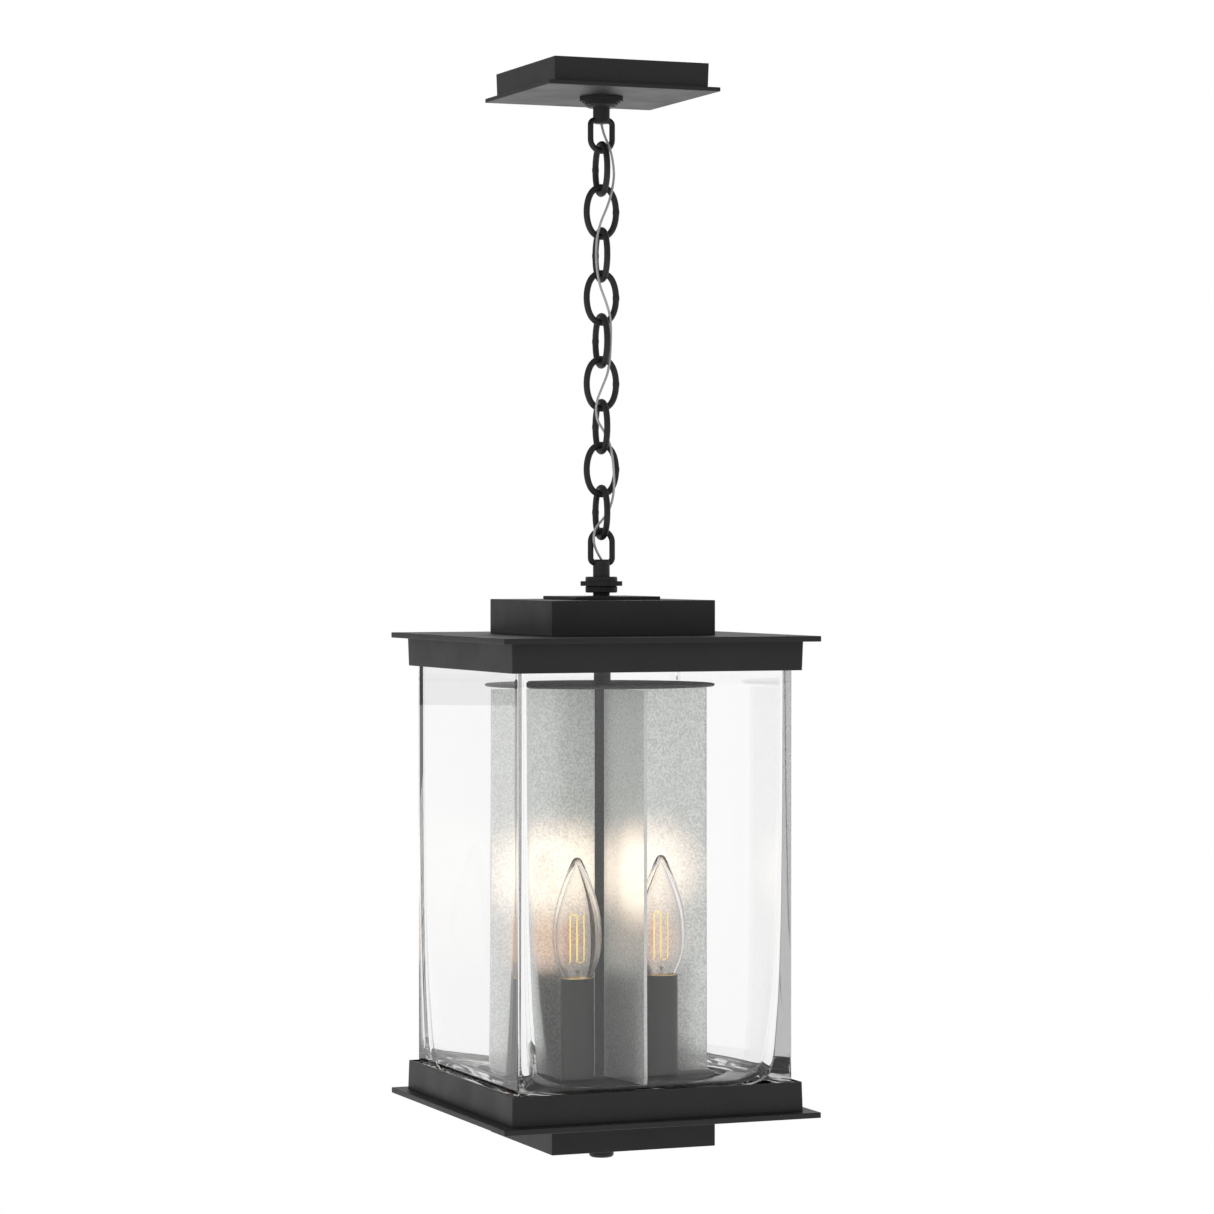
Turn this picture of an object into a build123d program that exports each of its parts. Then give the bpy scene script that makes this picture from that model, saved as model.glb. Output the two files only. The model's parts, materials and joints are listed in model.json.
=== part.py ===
from build123d import *
import math
import os

# Hanging lantern: ceiling canopy, nine-link chain, square glass body, four candle lamps.
# Millimetres, +Z up. The origin is on the lantern's axis in the ceiling plane, so the
# whole lantern hangs below z = 0. +X runs along the wide front side, -Y faces forward.

# ---------------------------------------------------------------- ceiling fixing
BAR_END_CLEAR = 5.8           # crossbar's ends to the inside of the canopy
BAR_WIDTH = 24.0
BAR_THICK = 2.5
BOX_SCREW_SPACING = 88.9      # two 8-32 screws of a round outlet box
BOX_SCREW_HOLE_R = 2.4
GROUND_SCREW_OFFSET = 26.0
GROUND_SCREW_R = 1.9

STEM_R = 4.8                  # threaded tube, the outside of its thread
STEM_BORE_R = 3.0
STEM_BOTTOM = -22.0
NUT_FLATS = 15.0
NUT_THICK = 4.0

# ---------------------------------------------------------------- canopy
CANOPY_PAN = 118.6            # side of the square pan
CANOPY_OVERHANG = 6.3         # of the flange plate under it, all round
CANOPY_PAN_HEIGHT = 17.6
CANOPY_PLATE_THICK = 3.0
CANOPY_WALL = 1.5
CANOPY_DRAFT = 0.5            # how much each pan side leans in, top to bottom

BARREL_R = 12.0               # threaded barrel of the screw-collar loop
BARREL_TOP = -8.0
BARREL_BELOW_RING = 3.0
RING_WALL = 3.4               # knurled collar ring that holds the canopy up
RING_THICK = 4.4
KNURL_COUNT = 40
KNURL_DEPTH = 0.45
SLIDE_CLEAR = 0.3             # canopy and ring over the barrel

# ---------------------------------------------------------------- loops and chain
NECK_R = 6.1
NECK_LENGTH = 7.0             # between the barrel and the loop's shoulders
LOOP_WIDTH = 21.3             # outside width of a loop
LOOP_ROD = 4.5
CANOPY_LOOP_HEIGHT = 26.4     # shoulders to the far end, outside
FIXTURE_LOOP_HEIGHT = 27.7
LOOP_CORNER_R = 3.4
CORD_BORE_R = 1.6
MOUTH_BELOW_SHOULDER = 4.6    # rounded end of the neck, inside the loop

LINK_COUNT = 9
LINK_LENGTH = 40.5            # outside length of one link
LINK_WIDTH = 27.5             # outside width
LINK_WIRE = 4.6               # wire diameter
LINK_PLAY = 0.2               # between the wires of two links
WIRE_SIDES = 8                # flats round the wire of the links and the loops
CORD_DIAMETER = 1.8
CORD_SIDES = 6

# ---------------------------------------------------------------- coupling above the roof
COLLAR_R = 11.6
COLLAR_TOP_THICK = 3.3
COUPLING_RING_R = 15.2
COUPLING_RING_THICK = 3.4
LOCK_NUT_THICK = 4.9
NECK_TO_COLLAR = 7.9
NIPPLE_SHOWING = 2.5

# ---------------------------------------------------------------- roof
CAP_SIDE = 65.6
CAP_THICK = 2.5
BOX_SIDE = 125.6              # roof box and base box
ROOF_BOX_HEIGHT = 25.1
SHEET = 1.5                   # wall of the folded sheet parts
PLATE_SIDE = 240.0            # roof plate and base plate
PLATE_THICK = 4.0
FASCIA_INSET = 9.4            # from the plate's edge, at the plate
FASCIA_DRAFT = 0.6            # how much each side leans in, away from the plate
FASCIA_HEIGHT = 20.5
FASCIA_CORNER_R = 1.6
TRAY_HEIGHT = 21.0
TRAY_FLOOR = 2.0

# ---------------------------------------------------------------- glass
GLASS_CLEAR = 4.2             # to the open edges of the fascia and the tray
GLASS_CORNER_R = 3.0
GLASS_WALL = 4.5
GLASS_INNER_R = 5.0           # inner corner radius at the rim
GLASS_HEIGHT = 326.6
GLASS_FLOOR = 12.0
GLASS_FLOOR_DRAW = 9.0        # how much narrower the inside is at the floor
GLASS_LEDGE = 5.8             # least width of the floor round its hole
GLASS_FOOT_R = 3.0
TOP_GASKET = 2.6
FOOT_GASKET = 3.0
GASKET_WIDTH = 5.0
LIFT_CLEAR = 0.2              # glass rim below its gasket

# ---------------------------------------------------------------- rod, disc, panels, cluster
ROD_R = 6.1
ROD_BORE_R = 3.2
ROD_THREAD_R = 4.8
DISC_THICK = 1.8
DISC_BELOW_FASCIA = 10.9
PANEL_OVERHANG = 0.4          # panel's outer edge past the disc and the cluster plate
PANEL_THICK = 2.6
CLUSTER_CLEAR = 7.9           # cluster plate inside the hole of the glass floor
CLUSTER_THICK = 3.0
CLUSTER_ABOVE_FLOOR = 11.0    # top of the cluster plate over the tray floor
GROOVE_DEPTH = 1.2
PANEL_CLEAR = 0.2             # in its groove and beside the rod
PANEL_BELOW_DISC = 1.5

# ---------------------------------------------------------------- candles and bulbs
CANDLE_OFFSET = 32.5          # each way from the axis
SLEEVE_R = 12.0
SLEEVE_WALL = 0.9
SLEEVE_HEIGHT = 82.0
SOCKET_CLEAR = 1.6            # socket inside the sleeve
SOCKET_BELOW_RIM = 13.0       # socket's top under the sleeve's rim
BULB_BASE_R = 6.1
BULB_BASE_LENGTH = 21.0
BULB_BASE_SHOWING = 2.6       # above the socket's rim
BULB_BASE_WALL = 0.5
BULB_TURN_CLEAR = 0.25        # bulb base in its socket
BULB_SEAT_GAP = 0.3           # under the base's contact button
BULB_R = 17.5
BULB_LENGTH = 86.0            # glass above the sleeve's rim
BULB_WIDEST = 26.0            # height of the widest point above the rim
BULB_RIM_CLEAR = 0.9          # bulb inside the sleeve's rim
BULB_NECK_CLEAR = 0.1         # glass neck in its metal base
BULB_NECK_DEPTH = 5.0
BULB_WALL = 0.8
CAGE_R = 5.6
CAGE_HEIGHT = 32.0
CAGE_BOTTOM = 6.5             # above the sleeve's rim
CAGE_WIRES = 8
CAGE_WIRE = 0.5

# ---------------------------------------------------------------- base
BASE_BOX_HEIGHT = 24.5
ROD_HOLE_CLEAR = 0.4
KNOB_R = 9.0
KNOB_HEIGHT = 12.8
KNOB_BORE_DEPTH = 9.0
KNOB_PLAY = 0.2
LEAD_CLEAR = 0.4              # bundle of leads in the rod's bore
LEAD_HOLE_R = 2.6             # under each lamp socket
SPLICE_R = 6.0
SPLICE_LENGTH = 16.0
SPLICE_OFFSET = 24.0

# ---------------------------------------------------------------- sizes worked out from them
bar_length = CANOPY_PAN - 2 * (CANOPY_WALL + BAR_END_CLEAR)
ring_r = BARREL_R + SLIDE_CLEAR + RING_WALL
fascia_side = PLATE_SIDE - 2 * FASCIA_INSET
glass_side = fascia_side - 2 * (FASCIA_DRAFT + SHEET + GLASS_CLEAR)
glass_inside = glass_side - 2 * GLASS_WALL
glass_hole_r = (glass_inside - GLASS_FLOOR_DRAW) / 2 - GLASS_LEDGE
cluster_r = glass_hole_r - CLUSTER_CLEAR
panel_reach = cluster_r + PANEL_OVERHANG
socket_r = SLEEVE_R - SLEEVE_WALL - SOCKET_CLEAR
bulb_waist_r = SLEEVE_R - SLEEVE_WALL - BULB_RIM_CLEAR

# ---------------------------------------------------------------- heights worked out from them
pan_bottom = -CANOPY_PAN_HEIGHT
plate_bottom = pan_bottom - CANOPY_PLATE_THICK
ring_top = plate_bottom - LINK_PLAY
ring_bottom = ring_top - RING_THICK
barrel_bottom = ring_bottom - BARREL_BELOW_RING
canopy_shoulder = barrel_bottom - NECK_LENGTH
canopy_mouth = canopy_shoulder - MOUTH_BELOW_SHOULDER
canopy_bar = canopy_shoulder - CANOPY_LOOP_HEIGHT + LOOP_ROD / 2

link_reach = LINK_LENGTH - LINK_WIRE          # between the centres of a link's end bars
link_step = LINK_LENGTH - 2 * LINK_WIRE - LINK_PLAY
hook_gap = (LINK_WIRE + LOOP_ROD) / 2 + LINK_PLAY
first_link_top = canopy_bar + hook_gap
link_tops = [first_link_top - i * link_step for i in range(LINK_COUNT)]
fixture_bar = link_tops[-1] - link_reach + hook_gap
fixture_shoulder = fixture_bar + LOOP_ROD / 2 - FIXTURE_LOOP_HEIGHT
fixture_mouth = fixture_shoulder + MOUTH_BELOW_SHOULDER
collar_top = fixture_shoulder - NECK_TO_COLLAR
coupling_ring_top = collar_top - COLLAR_TOP_THICK
lock_nut_top = coupling_ring_top - COUPLING_RING_THICK
nipple_top = coupling_ring_top
lock_nut_bottom = lock_nut_top - LOCK_NUT_THICK

cap_top = lock_nut_bottom - NIPPLE_SHOWING
roof_box_top = cap_top - CAP_THICK
roof_plate_top = roof_box_top - ROOF_BOX_HEIGHT
roof_plate_bottom = roof_plate_top - PLATE_THICK
fascia_bottom = roof_plate_bottom - FASCIA_HEIGHT

glass_top = roof_plate_bottom - TOP_GASKET - LIFT_CLEAR
glass_bottom = glass_top - GLASS_HEIGHT
glass_floor_top = glass_bottom + GLASS_FLOOR
tray_floor_top = glass_bottom - FOOT_GASKET
tray_bottom = tray_floor_top - TRAY_FLOOR
tray_top = tray_bottom + TRAY_HEIGHT
base_plate_bottom = tray_bottom - PLATE_THICK
base_box_bottom = base_plate_bottom - BASE_BOX_HEIGHT
knob_top = base_box_bottom - KNOB_PLAY
knob_bottom = knob_top - KNOB_HEIGHT

disc_top = fascia_bottom - DISC_BELOW_FASCIA
disc_bottom = disc_top - DISC_THICK
cluster_top = tray_floor_top + CLUSTER_ABOVE_FLOOR
cluster_bottom = cluster_top - CLUSTER_THICK
sleeve_top = cluster_top + SLEEVE_HEIGHT
socket_top = sleeve_top - SOCKET_BELOW_RIM
rod_top = roof_plate_top + NUT_THICK + 3.0
rod_end = knob_top - KNOB_BORE_DEPTH + 1.0
bulb_base_top = socket_top + BULB_BASE_SHOWING
bulb_base_bottom = bulb_base_top - BULB_BASE_LENGTH
bulb_neck_r = BULB_BASE_R - BULB_BASE_WALL - BULB_NECK_CLEAR
bulb_foot = bulb_base_top - sleeve_top - BULB_NECK_DEPTH      # from the sleeve's rim
candle_places = [(x * CANDLE_OFFSET, y * CANDLE_OFFSET) for x, y in ((-1, -1), (1, -1), (1, 1), (-1, 1))]


# ---------------------------------------------------------------- shared shapes
def tube(radius, top, bottom, bore=0.0):
    """Round bar or tube on the axis, between two heights."""
    body = Pos(0, 0, (top + bottom) / 2) * Cylinder(radius, top - bottom)
    if bore:
        body -= Pos(0, 0, (top + bottom) / 2) * Cylinder(bore, top - bottom + 1)
    return body


def slab(side, top, bottom, hole=0.0):
    """Square plate, with an optional round hole on the axis."""
    body = Pos(0, 0, (top + bottom) / 2) * Box(side, side, top - bottom)
    if hole:
        body -= Pos(0, 0, (top + bottom) / 2) * Cylinder(hole, top - bottom + 1)
    return body


def block(side_top, side_bottom, top, bottom, radius=0.0):
    """Square block whose sides may lean, with rounded upright corners."""
    sections = []
    for side, height, r in ((side_bottom, bottom, radius), (side_top, top, radius)):
        face = RectangleRounded(side, side, r) if r else Rectangle(side, side)
        sections.append(Pos(0, 0, height) * face)
    return loft(sections, ruled=True)


def rounded_block(lower, upper):
    """Block between two rounded squares, each given as (side, corner radius, height)."""
    sections = []
    for side, radius, height in (lower, upper):
        sections.append(Pos(0, 0, height) * RectangleRounded(side, side, radius))
    return loft(sections, ruled=True)


def hex_nut(top, thick, bore):
    """Hexagon nut on the axis."""
    nut = extrude(Pos(0, 0, top - thick) * RegularPolygon(NUT_FLATS / 2, 6, major_radius=False), thick)
    return nut - tube(bore, top + 1, top - thick - 1)


def knurled_disc(radius, top, thick, bore):
    """Ring whose rim is notched all round."""
    corners = []
    for i in range(2 * KNURL_COUNT):
        r = radius if i % 2 == 0 else radius - KNURL_DEPTH
        angle = math.pi * i / KNURL_COUNT
        corners.append((r * math.cos(angle), r * math.sin(angle)))
    ring = extrude(Pos(0, 0, top - thick) * make_face(Polyline(*corners, close=True)), thick)
    return ring - tube(bore, top + 1, top - thick - 1)


def loop_bail(height):
    """Closed loop of round rod in the XZ plane, its shoulders at z = 0 and its bow below."""
    half = (LOOP_WIDTH - LOOP_ROD) / 2
    top = -LOOP_ROD / 2
    bow_centre = -height + LOOP_ROD / 2 + half
    r = LOOP_CORNER_R
    path = Wire([
        Line((half - r, top), (-half + r, top)).edge(),
        ThreePointArc((-half + r, top), corner_middle(-half + r, top - r, 135), (-half, top - r)).edge(),
        Line((-half, top - r), (-half, bow_centre)).edge(),
        ThreePointArc((-half, bow_centre), (0, bow_centre - half), (half, bow_centre)).edge(),
        Line((half, bow_centre), (half, top - r)).edge(),
        ThreePointArc((half, top - r), corner_middle(half - r, top - r, 45), (half - r, top)).edge(),
    ])
    path = Plane.XZ * path
    section = Plane(origin=(0, 0, top), z_dir=(1, 0, 0)) * RegularPolygon(LOOP_ROD / 2, WIRE_SIDES)
    return sweep(section, path)


def corner_middle(x, z, degrees):
    """Middle point of a loop's rounded corner about (x, z)."""
    angle = math.radians(degrees)
    return (x + LOOP_CORNER_R * math.cos(angle), z + LOOP_CORNER_R * math.sin(angle))


def chain_link():
    """Oval link in the XZ plane, the centre of its top bar at the origin."""
    reach = link_reach / 2
    path = Plane.XZ * Ellipse((LINK_WIDTH - LINK_WIRE) / 2, reach).edges()[0]
    section = Plane(origin=path @ 0, z_dir=path % 0) * RegularPolygon(LINK_WIRE / 2, WIRE_SIDES)
    return Pos(0, 0, -reach) * sweep(section, path)


# ---------------------------------------------------------------- ceiling fixing
def crossbar():
    bar = Pos(0, 0, -BAR_THICK / 2) * Box(bar_length, BAR_WIDTH, BAR_THICK)
    bar = fillet(bar.edges().filter_by(Axis.Z), BAR_WIDTH / 4)
    bar -= tube(STEM_R, 1, -BAR_THICK - 1)
    for side in (-1, 1):
        bar -= Pos(side * BOX_SCREW_SPACING / 2, 0, 0) * Cylinder(BOX_SCREW_HOLE_R, 4 * BAR_THICK)
    bar -= Pos(GROUND_SCREW_OFFSET, 0, 0) * Cylinder(GROUND_SCREW_R, 4 * BAR_THICK)
    return bar


def ground_screw():
    head_thick = 2.0
    shank_end = -BAR_THICK - head_thick
    head = tube(2 * GROUND_SCREW_R, -BAR_THICK, shank_end)
    screw = head + tube(GROUND_SCREW_R, 0, -BAR_THICK)
    slot = Pos(0, 0, shank_end) * Box(5 * GROUND_SCREW_R, 0.9, 1.6)
    return Pos(GROUND_SCREW_OFFSET, 0, 0) * (screw - slot)


def canopy_loop():
    barrel = tube(BARREL_R, BARREL_TOP, barrel_bottom)
    barrel = chamfer(barrel.edges().group_by(Axis.Z)[0], 2.0)
    neck = tube(NECK_R, barrel_bottom + 0.5, canopy_mouth)
    neck = chamfer(neck.edges().group_by(Axis.Z)[0], 1.4)
    body = barrel + neck + Pos(0, 0, canopy_shoulder) * loop_bail(CANOPY_LOOP_HEIGHT)
    body -= tube(STEM_R, BARREL_TOP + 1, STEM_BOTTOM)
    body -= tube(CORD_BORE_R, STEM_BOTTOM + 1, canopy_mouth - 1)
    return body


# ---------------------------------------------------------------- canopy
def canopy_pan():
    bottom_side = CANOPY_PAN - 2 * CANOPY_DRAFT
    outer = block(CANOPY_PAN, bottom_side, 0, pan_bottom)
    inner = block(CANOPY_PAN - 2 * CANOPY_WALL, bottom_side - 2 * CANOPY_WALL, 0, pan_bottom)
    return outer - inner


def canopy_plate():
    return slab(CANOPY_PAN + 2 * CANOPY_OVERHANG, pan_bottom, plate_bottom, BARREL_R + SLIDE_CLEAR)


def canopy_collar_ring():
    ring = knurled_disc(ring_r, ring_top, RING_THICK, BARREL_R + SLIDE_CLEAR)
    # a plain step under the knurled rim
    step = tube(ring_r - 2.0, ring_bottom + 1.6, ring_bottom - 1, BARREL_R + SLIDE_CLEAR)
    cut = tube(ring_r + 2, ring_bottom + 1.4, ring_bottom - 1) - step
    return ring - cut


# ---------------------------------------------------------------- coupling above the roof
def fixture_loop():
    bail = Pos(0, 0, fixture_shoulder) * (Rot(180, 0, 0) * loop_bail(FIXTURE_LOOP_HEIGHT))
    neck = tube(NECK_R, fixture_mouth, collar_top - 0.5)
    neck = chamfer(neck.edges().group_by(Axis.Z)[-1], 1.4)
    collar = tube(COLLAR_R, collar_top, coupling_ring_top)
    collar = chamfer(collar.edges().group_by(Axis.Z)[-1], 0.7)
    return bail + neck + collar - tube(CORD_BORE_R, fixture_mouth + 1, coupling_ring_top - 1)


def coupling_ring():
    return knurled_disc(COUPLING_RING_R, coupling_ring_top, COUPLING_RING_THICK, STEM_R)


def lock_nut():
    nut = tube(COLLAR_R, lock_nut_top, lock_nut_bottom, STEM_R)
    return chamfer(nut.edges().filter_by(GeomType.CIRCLE).sort_by(SortBy.RADIUS)[-2:], 0.7)


def roof_nipple():
    """Threaded tube from the coupling ring down into the roof box, with a plain sleeve in view."""
    shaft = tube(STEM_R, nipple_top, roof_box_top - SHEET - NUT_THICK - 1.5)
    sleeve = tube(NECK_R, lock_nut_bottom, cap_top)
    return shaft + sleeve - tube(STEM_BORE_R, nipple_top + 1, roof_box_top - 20)


# ---------------------------------------------------------------- roof
def roof_cap():
    return slab(CAP_SIDE, cap_top, roof_box_top, STEM_R)


def roof_box():
    outer = slab(BOX_SIDE, roof_box_top, roof_plate_top)
    inner = slab(BOX_SIDE - 2 * SHEET, roof_box_top - SHEET, roof_plate_top - 1)
    return outer - inner - tube(STEM_R, roof_box_top + 1, roof_box_top - 2 * SHEET)


def roof_plate():
    return slab(PLATE_SIDE, roof_plate_top, roof_plate_bottom, ROD_THREAD_R)


def fascia(side_at_plate, plate_z, far_z):
    """Leaning square band, open at both ends."""
    far_side = side_at_plate - 2 * FASCIA_DRAFT
    top, bottom = max(plate_z, far_z), min(plate_z, far_z)
    sides = (side_at_plate, far_side) if plate_z > far_z else (far_side, side_at_plate)
    outer = block(*sides, top, bottom, FASCIA_CORNER_R)
    inner = block(*(side - 2 * SHEET for side in sides), top, bottom)
    return outer - inner


def roof_fascia():
    return fascia(fascia_side, roof_plate_bottom, fascia_bottom)


def glass_top_gasket():
    middle = glass_side - GLASS_WALL
    outer = slab(middle + GASKET_WIDTH, roof_plate_bottom, roof_plate_bottom - TOP_GASKET)
    return outer - slab(middle - GASKET_WIDTH, roof_plate_bottom + 1, roof_plate_bottom - TOP_GASKET - 1)


# ---------------------------------------------------------------- rod, disc, panels and cluster
def centre_rod():
    rod = tube(ROD_R, roof_plate_bottom, cluster_top)
    rod += tube(ROD_THREAD_R, rod_top, rod_end)
    rod = chamfer(rod.edges().group_by(Axis.Z)[0], 0.8)
    return rod - tube(ROD_BORE_R, rod_top + 1, cluster_bottom - NUT_THICK)


def hex_nuts():
    """Nuts under the roof box top, on the rod in the roof box and under the cluster plate."""
    return [
        hex_nut(roof_box_top - SHEET, NUT_THICK, STEM_R),
        hex_nut(roof_plate_top + NUT_THICK, NUT_THICK, ROD_THREAD_R),
        hex_nut(cluster_bottom, NUT_THICK, ROD_THREAD_R),
    ]


def top_disc():
    disc = tube(cluster_r, disc_top, disc_bottom, ROD_R)
    rims = disc.edges().filter_by(GeomType.CIRCLE).sort_by(SortBy.RADIUS)[-2:]
    return chamfer(rims, DISC_THICK / 3)


def diffuser_panel(turn):
    """One upright sheet of frosted glass from the rod out, its foot in a groove."""
    inner = ROD_R + PANEL_CLEAR
    top = disc_bottom - PANEL_BELOW_DISC
    bottom = cluster_top - GROOVE_DEPTH
    sheet = Box(panel_reach - inner, PANEL_THICK, top - bottom)
    return Rot(0, 0, turn) * (Pos((panel_reach + inner) / 2, 0, (top + bottom) / 2) * sheet)


def cluster_plate():
    plate = tube(cluster_r, cluster_top, cluster_bottom, ROD_THREAD_R)
    groove_length = 2 * (panel_reach + 2)
    groove = Box(groove_length, PANEL_THICK + 2 * PANEL_CLEAR, 2 * GROOVE_DEPTH)
    plate -= Pos(0, 0, cluster_top) * groove
    plate -= Pos(0, 0, cluster_top) * (Rot(0, 0, 90) * groove)
    # the rod stands on the middle of the plate, so the grooves stop at it
    plate += tube(ROD_R, cluster_top, cluster_bottom, ROD_THREAD_R)
    for x, y in candle_places:
        plate -= Pos(x, y, cluster_top) * Cylinder(LEAD_HOLE_R, 4 * CLUSTER_THICK)
    return plate


def candle_sleeve(x, y):
    return Pos(x, y, 0) * tube(SLEEVE_R, sleeve_top, cluster_top, SLEEVE_R - SLEEVE_WALL)


def lamp_sockets():
    """Four candelabra sockets, each a shell with a bore for the bulb and a lead hole below."""
    sockets = []
    for x, y in candle_places:
        body = tube(socket_r, socket_top, cluster_top)
        body -= tube(BULB_BASE_R + BULB_TURN_CLEAR, socket_top + 1, bulb_base_bottom - BULB_SEAT_GAP)
        body -= tube(LEAD_HOLE_R, cluster_top + 12, cluster_top - 1)
        sockets.append(Pos(x, y, 0) * body)
    return sockets


def lamp_leads():
    """The feed down the rod's bore, from the splices to the cluster."""
    return tube(ROD_BORE_R - LEAD_CLEAR, rod_top + 8, cluster_bottom - NUT_THICK + 1)


def splice_caps():
    """Twist-on wire connectors that stand on the roof plate, inside the roof box."""
    caps = []
    for side in (-1, 1):
        cap = Cone(SPLICE_R, 0.62 * SPLICE_R, SPLICE_LENGTH)
        caps.append(Pos(side * SPLICE_OFFSET, 0, roof_plate_top + SPLICE_LENGTH / 2) * cap)
    return caps


# ---------------------------------------------------------------- bulbs
def bulb_outline(skin):
    """Half profile of a candle bulb above z = 0, the sleeve's rim, thinner by skin all over."""
    tip = BULB_LENGTH - skin
    neck = bulb_neck_r - skin
    side = Spline(
        (neck, bulb_base_top - sleeve_top + 0.5),
        (bulb_waist_r - skin, 0),
        (BULB_R - skin, BULB_WIDEST),
        (0.62 * BULB_R - skin, 0.66 * BULB_LENGTH),
        (0.17 * BULB_R, tip - 1.4),
        tangents=((0.4, 1), (-0.75, 1)),
    )
    crown = Spline((0.17 * BULB_R, tip - 1.4), (0, tip), tangents=((-0.75, 1), (-1, 0)))
    foot = Polyline((0, bulb_foot), (neck, bulb_foot), side @ 0)
    return foot + side + crown + Line((0, tip), (0, bulb_foot))


def bulb_glass(x, y):
    outer = revolve(Plane.XZ * make_face(bulb_outline(0)), Axis.Z)
    inner = revolve(Plane.XZ * make_face(bulb_outline(BULB_WALL)), Axis.Z)
    inner = inner - tube(BULB_R, bulb_foot + BULB_WALL, bulb_foot - 1)
    return Pos(x, y, sleeve_top) * (outer - inner)


def bulb_base(x, y):
    shell = tube(BULB_BASE_R, bulb_base_top, bulb_base_bottom + 1.5)
    shell -= tube(BULB_BASE_R - BULB_BASE_WALL, bulb_base_top + 1, bulb_base_bottom + 3)
    button = Pos(0, 0, bulb_base_bottom + 0.75) * Cone(2.4, BULB_BASE_R - 0.6, 1.5)
    return Pos(x, y, 0) * (shell + button)


def bulb_filament(x, y):
    """Glass mount and a wire cage that runs up and down, cut from a thin eight-sided tube."""
    low, high = CAGE_BOTTOM, CAGE_BOTTOM + CAGE_HEIGHT
    half = CAGE_WIRE / 2
    ring = RegularPolygon(CAGE_R + half, CAGE_WIRES) - RegularPolygon(CAGE_R - half, CAGE_WIRES)
    cage = extrude(Pos(0, 0, low) * ring, CAGE_HEIGHT)
    step = 360 / CAGE_WIRES
    gap = 2 * CAGE_R * math.sin(math.radians(step / 2)) - CAGE_WIRE
    for i in range(CAGE_WIRES):
        # each gap leaves a turn of the wire at its top or its bottom by turns, and the last one none
        shift = (-CAGE_WIRE, CAGE_WIRE)[i % 2]
        height = CAGE_HEIGHT
        if i == CAGE_WIRES - 1:
            shift, height = 0, CAGE_HEIGHT + 1
        window = Pos(CAGE_R, 0, (low + high) / 2 + shift) * Box(CAGE_R, gap, height)
        cage -= Rot(0, 0, (i + 0.5) * step) * window
    neck_floor = bulb_foot + BULB_WALL
    mount = tube(1.3, low + CAGE_WIRE, neck_floor) + tube(2.6, neck_floor + 3, neck_floor)
    for i in (0, CAGE_WIRES - 1):
        stay = Pos(CAGE_R / 2, 0, low + half) * Box(CAGE_R, CAGE_WIRE, CAGE_WIRE)
        mount += Rot(0, 0, i * step) * stay
    return Pos(x, y, sleeve_top) * (cage + mount)


# ---------------------------------------------------------------- glass and base
def glass_box():
    """Moulded glass box: thick rounded foot, round hole in its floor, walls that thin upwards."""
    body = rounded_block((glass_side, GLASS_CORNER_R, glass_bottom), (glass_side, GLASS_CORNER_R, glass_top))
    body = fillet(body.faces().sort_by(Axis.Z)[0].edges(), GLASS_FOOT_R - 0.2)
    # inner sections, from the floor up: side, corner radius, height over the floor
    sections = [
        (glass_inside - GLASS_FLOOR_DRAW, 34.0, 0.0),
        (glass_inside - 4.4, 27.0, 4.5),
        (glass_inside - 2.4, 20.0, 16.0),
        (glass_inside - 1.2, 12.0, 55.0),
        (glass_inside, GLASS_INNER_R, glass_top - glass_floor_top + 1),
    ]
    for low, high in zip(sections, sections[1:]):
        lower = (low[0], low[1], glass_floor_top + low[2])
        upper = (high[0], high[1], glass_floor_top + high[2])
        body -= rounded_block(lower, upper)
    return body - tube(glass_hole_r, glass_floor_top + 1, glass_bottom - 1)


def glass_foot_gasket():
    outer = slab(glass_side - 2 * GLASS_FOOT_R, glass_bottom, tray_floor_top)
    return outer - tube(glass_hole_r + 2, glass_bottom + 1, tray_floor_top - 1)


def base_tray():
    walls = fascia(fascia_side, tray_bottom, tray_top)
    floor = slab(fascia_side - SHEET, tray_floor_top, tray_bottom, ROD_THREAD_R + ROD_HOLE_CLEAR)
    return walls + floor


def base_plate():
    return slab(PLATE_SIDE, tray_bottom, base_plate_bottom, ROD_THREAD_R + ROD_HOLE_CLEAR)


def base_box():
    outer = slab(BOX_SIDE, base_plate_bottom, base_box_bottom)
    inner = slab(BOX_SIDE - 2 * SHEET, base_plate_bottom + 1, base_box_bottom + SHEET)
    hole = tube(ROD_THREAD_R + ROD_HOLE_CLEAR, base_box_bottom + 4, base_box_bottom - 1)
    return outer - inner - hole


def finial_knob():
    knob = tube(KNOB_R, knob_top, knob_bottom)
    knob = fillet(knob.edges().group_by(Axis.Z)[0], 2.2)
    knob = chamfer(knob.edges().group_by(Axis.Z)[-1], 0.8)
    return knob - tube(ROD_THREAD_R + ROD_HOLE_CLEAR, knob_top + 1, knob_top - KNOB_BORE_DEPTH)


# ---------------------------------------------------------------- supply cord
CORD_ROUTE = [
    (0.0, 0.0, canopy_mouth),
    (0.8, -2.0, -47.5),
    (4.9, -4.7, -57.5),
    (7.6, -4.5, -69.0),
    (8.4, -4.2, -80.0),
    (3.8, -6.2, -97.0),
    (-5.2, -6.2, -116.0),
    (-6.4, -4.6, -136.0),
    (-4.6, -6.0, -155.0),
    (1.0, -6.6, -169.0),
    (5.4, -4.8, -180.0),
    (5.9, -4.0, -197.0),
    (3.6, -6.2, -218.0),
    (-1.6, -6.6, -230.0),
    (-6.4, -5.2, -242.0),
    (-5.6, -4.4, -254.0),
    (0.6, -3.6, -262.5),
    (5.0, -5.2, -272.0),
    (7.4, -5.6, -288.0),
    (8.2, -4.8, -306.0),
    (5.6, -3.8, -318.0),
    (0.2, -4.4, -325.6),
    (-7.9, -5.6, -333.6),
    (-7.8, -4.2, -343.6),
    (-3.6, -1.6, -351.2),
    (0.0, 0.0, fixture_mouth),
]


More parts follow.
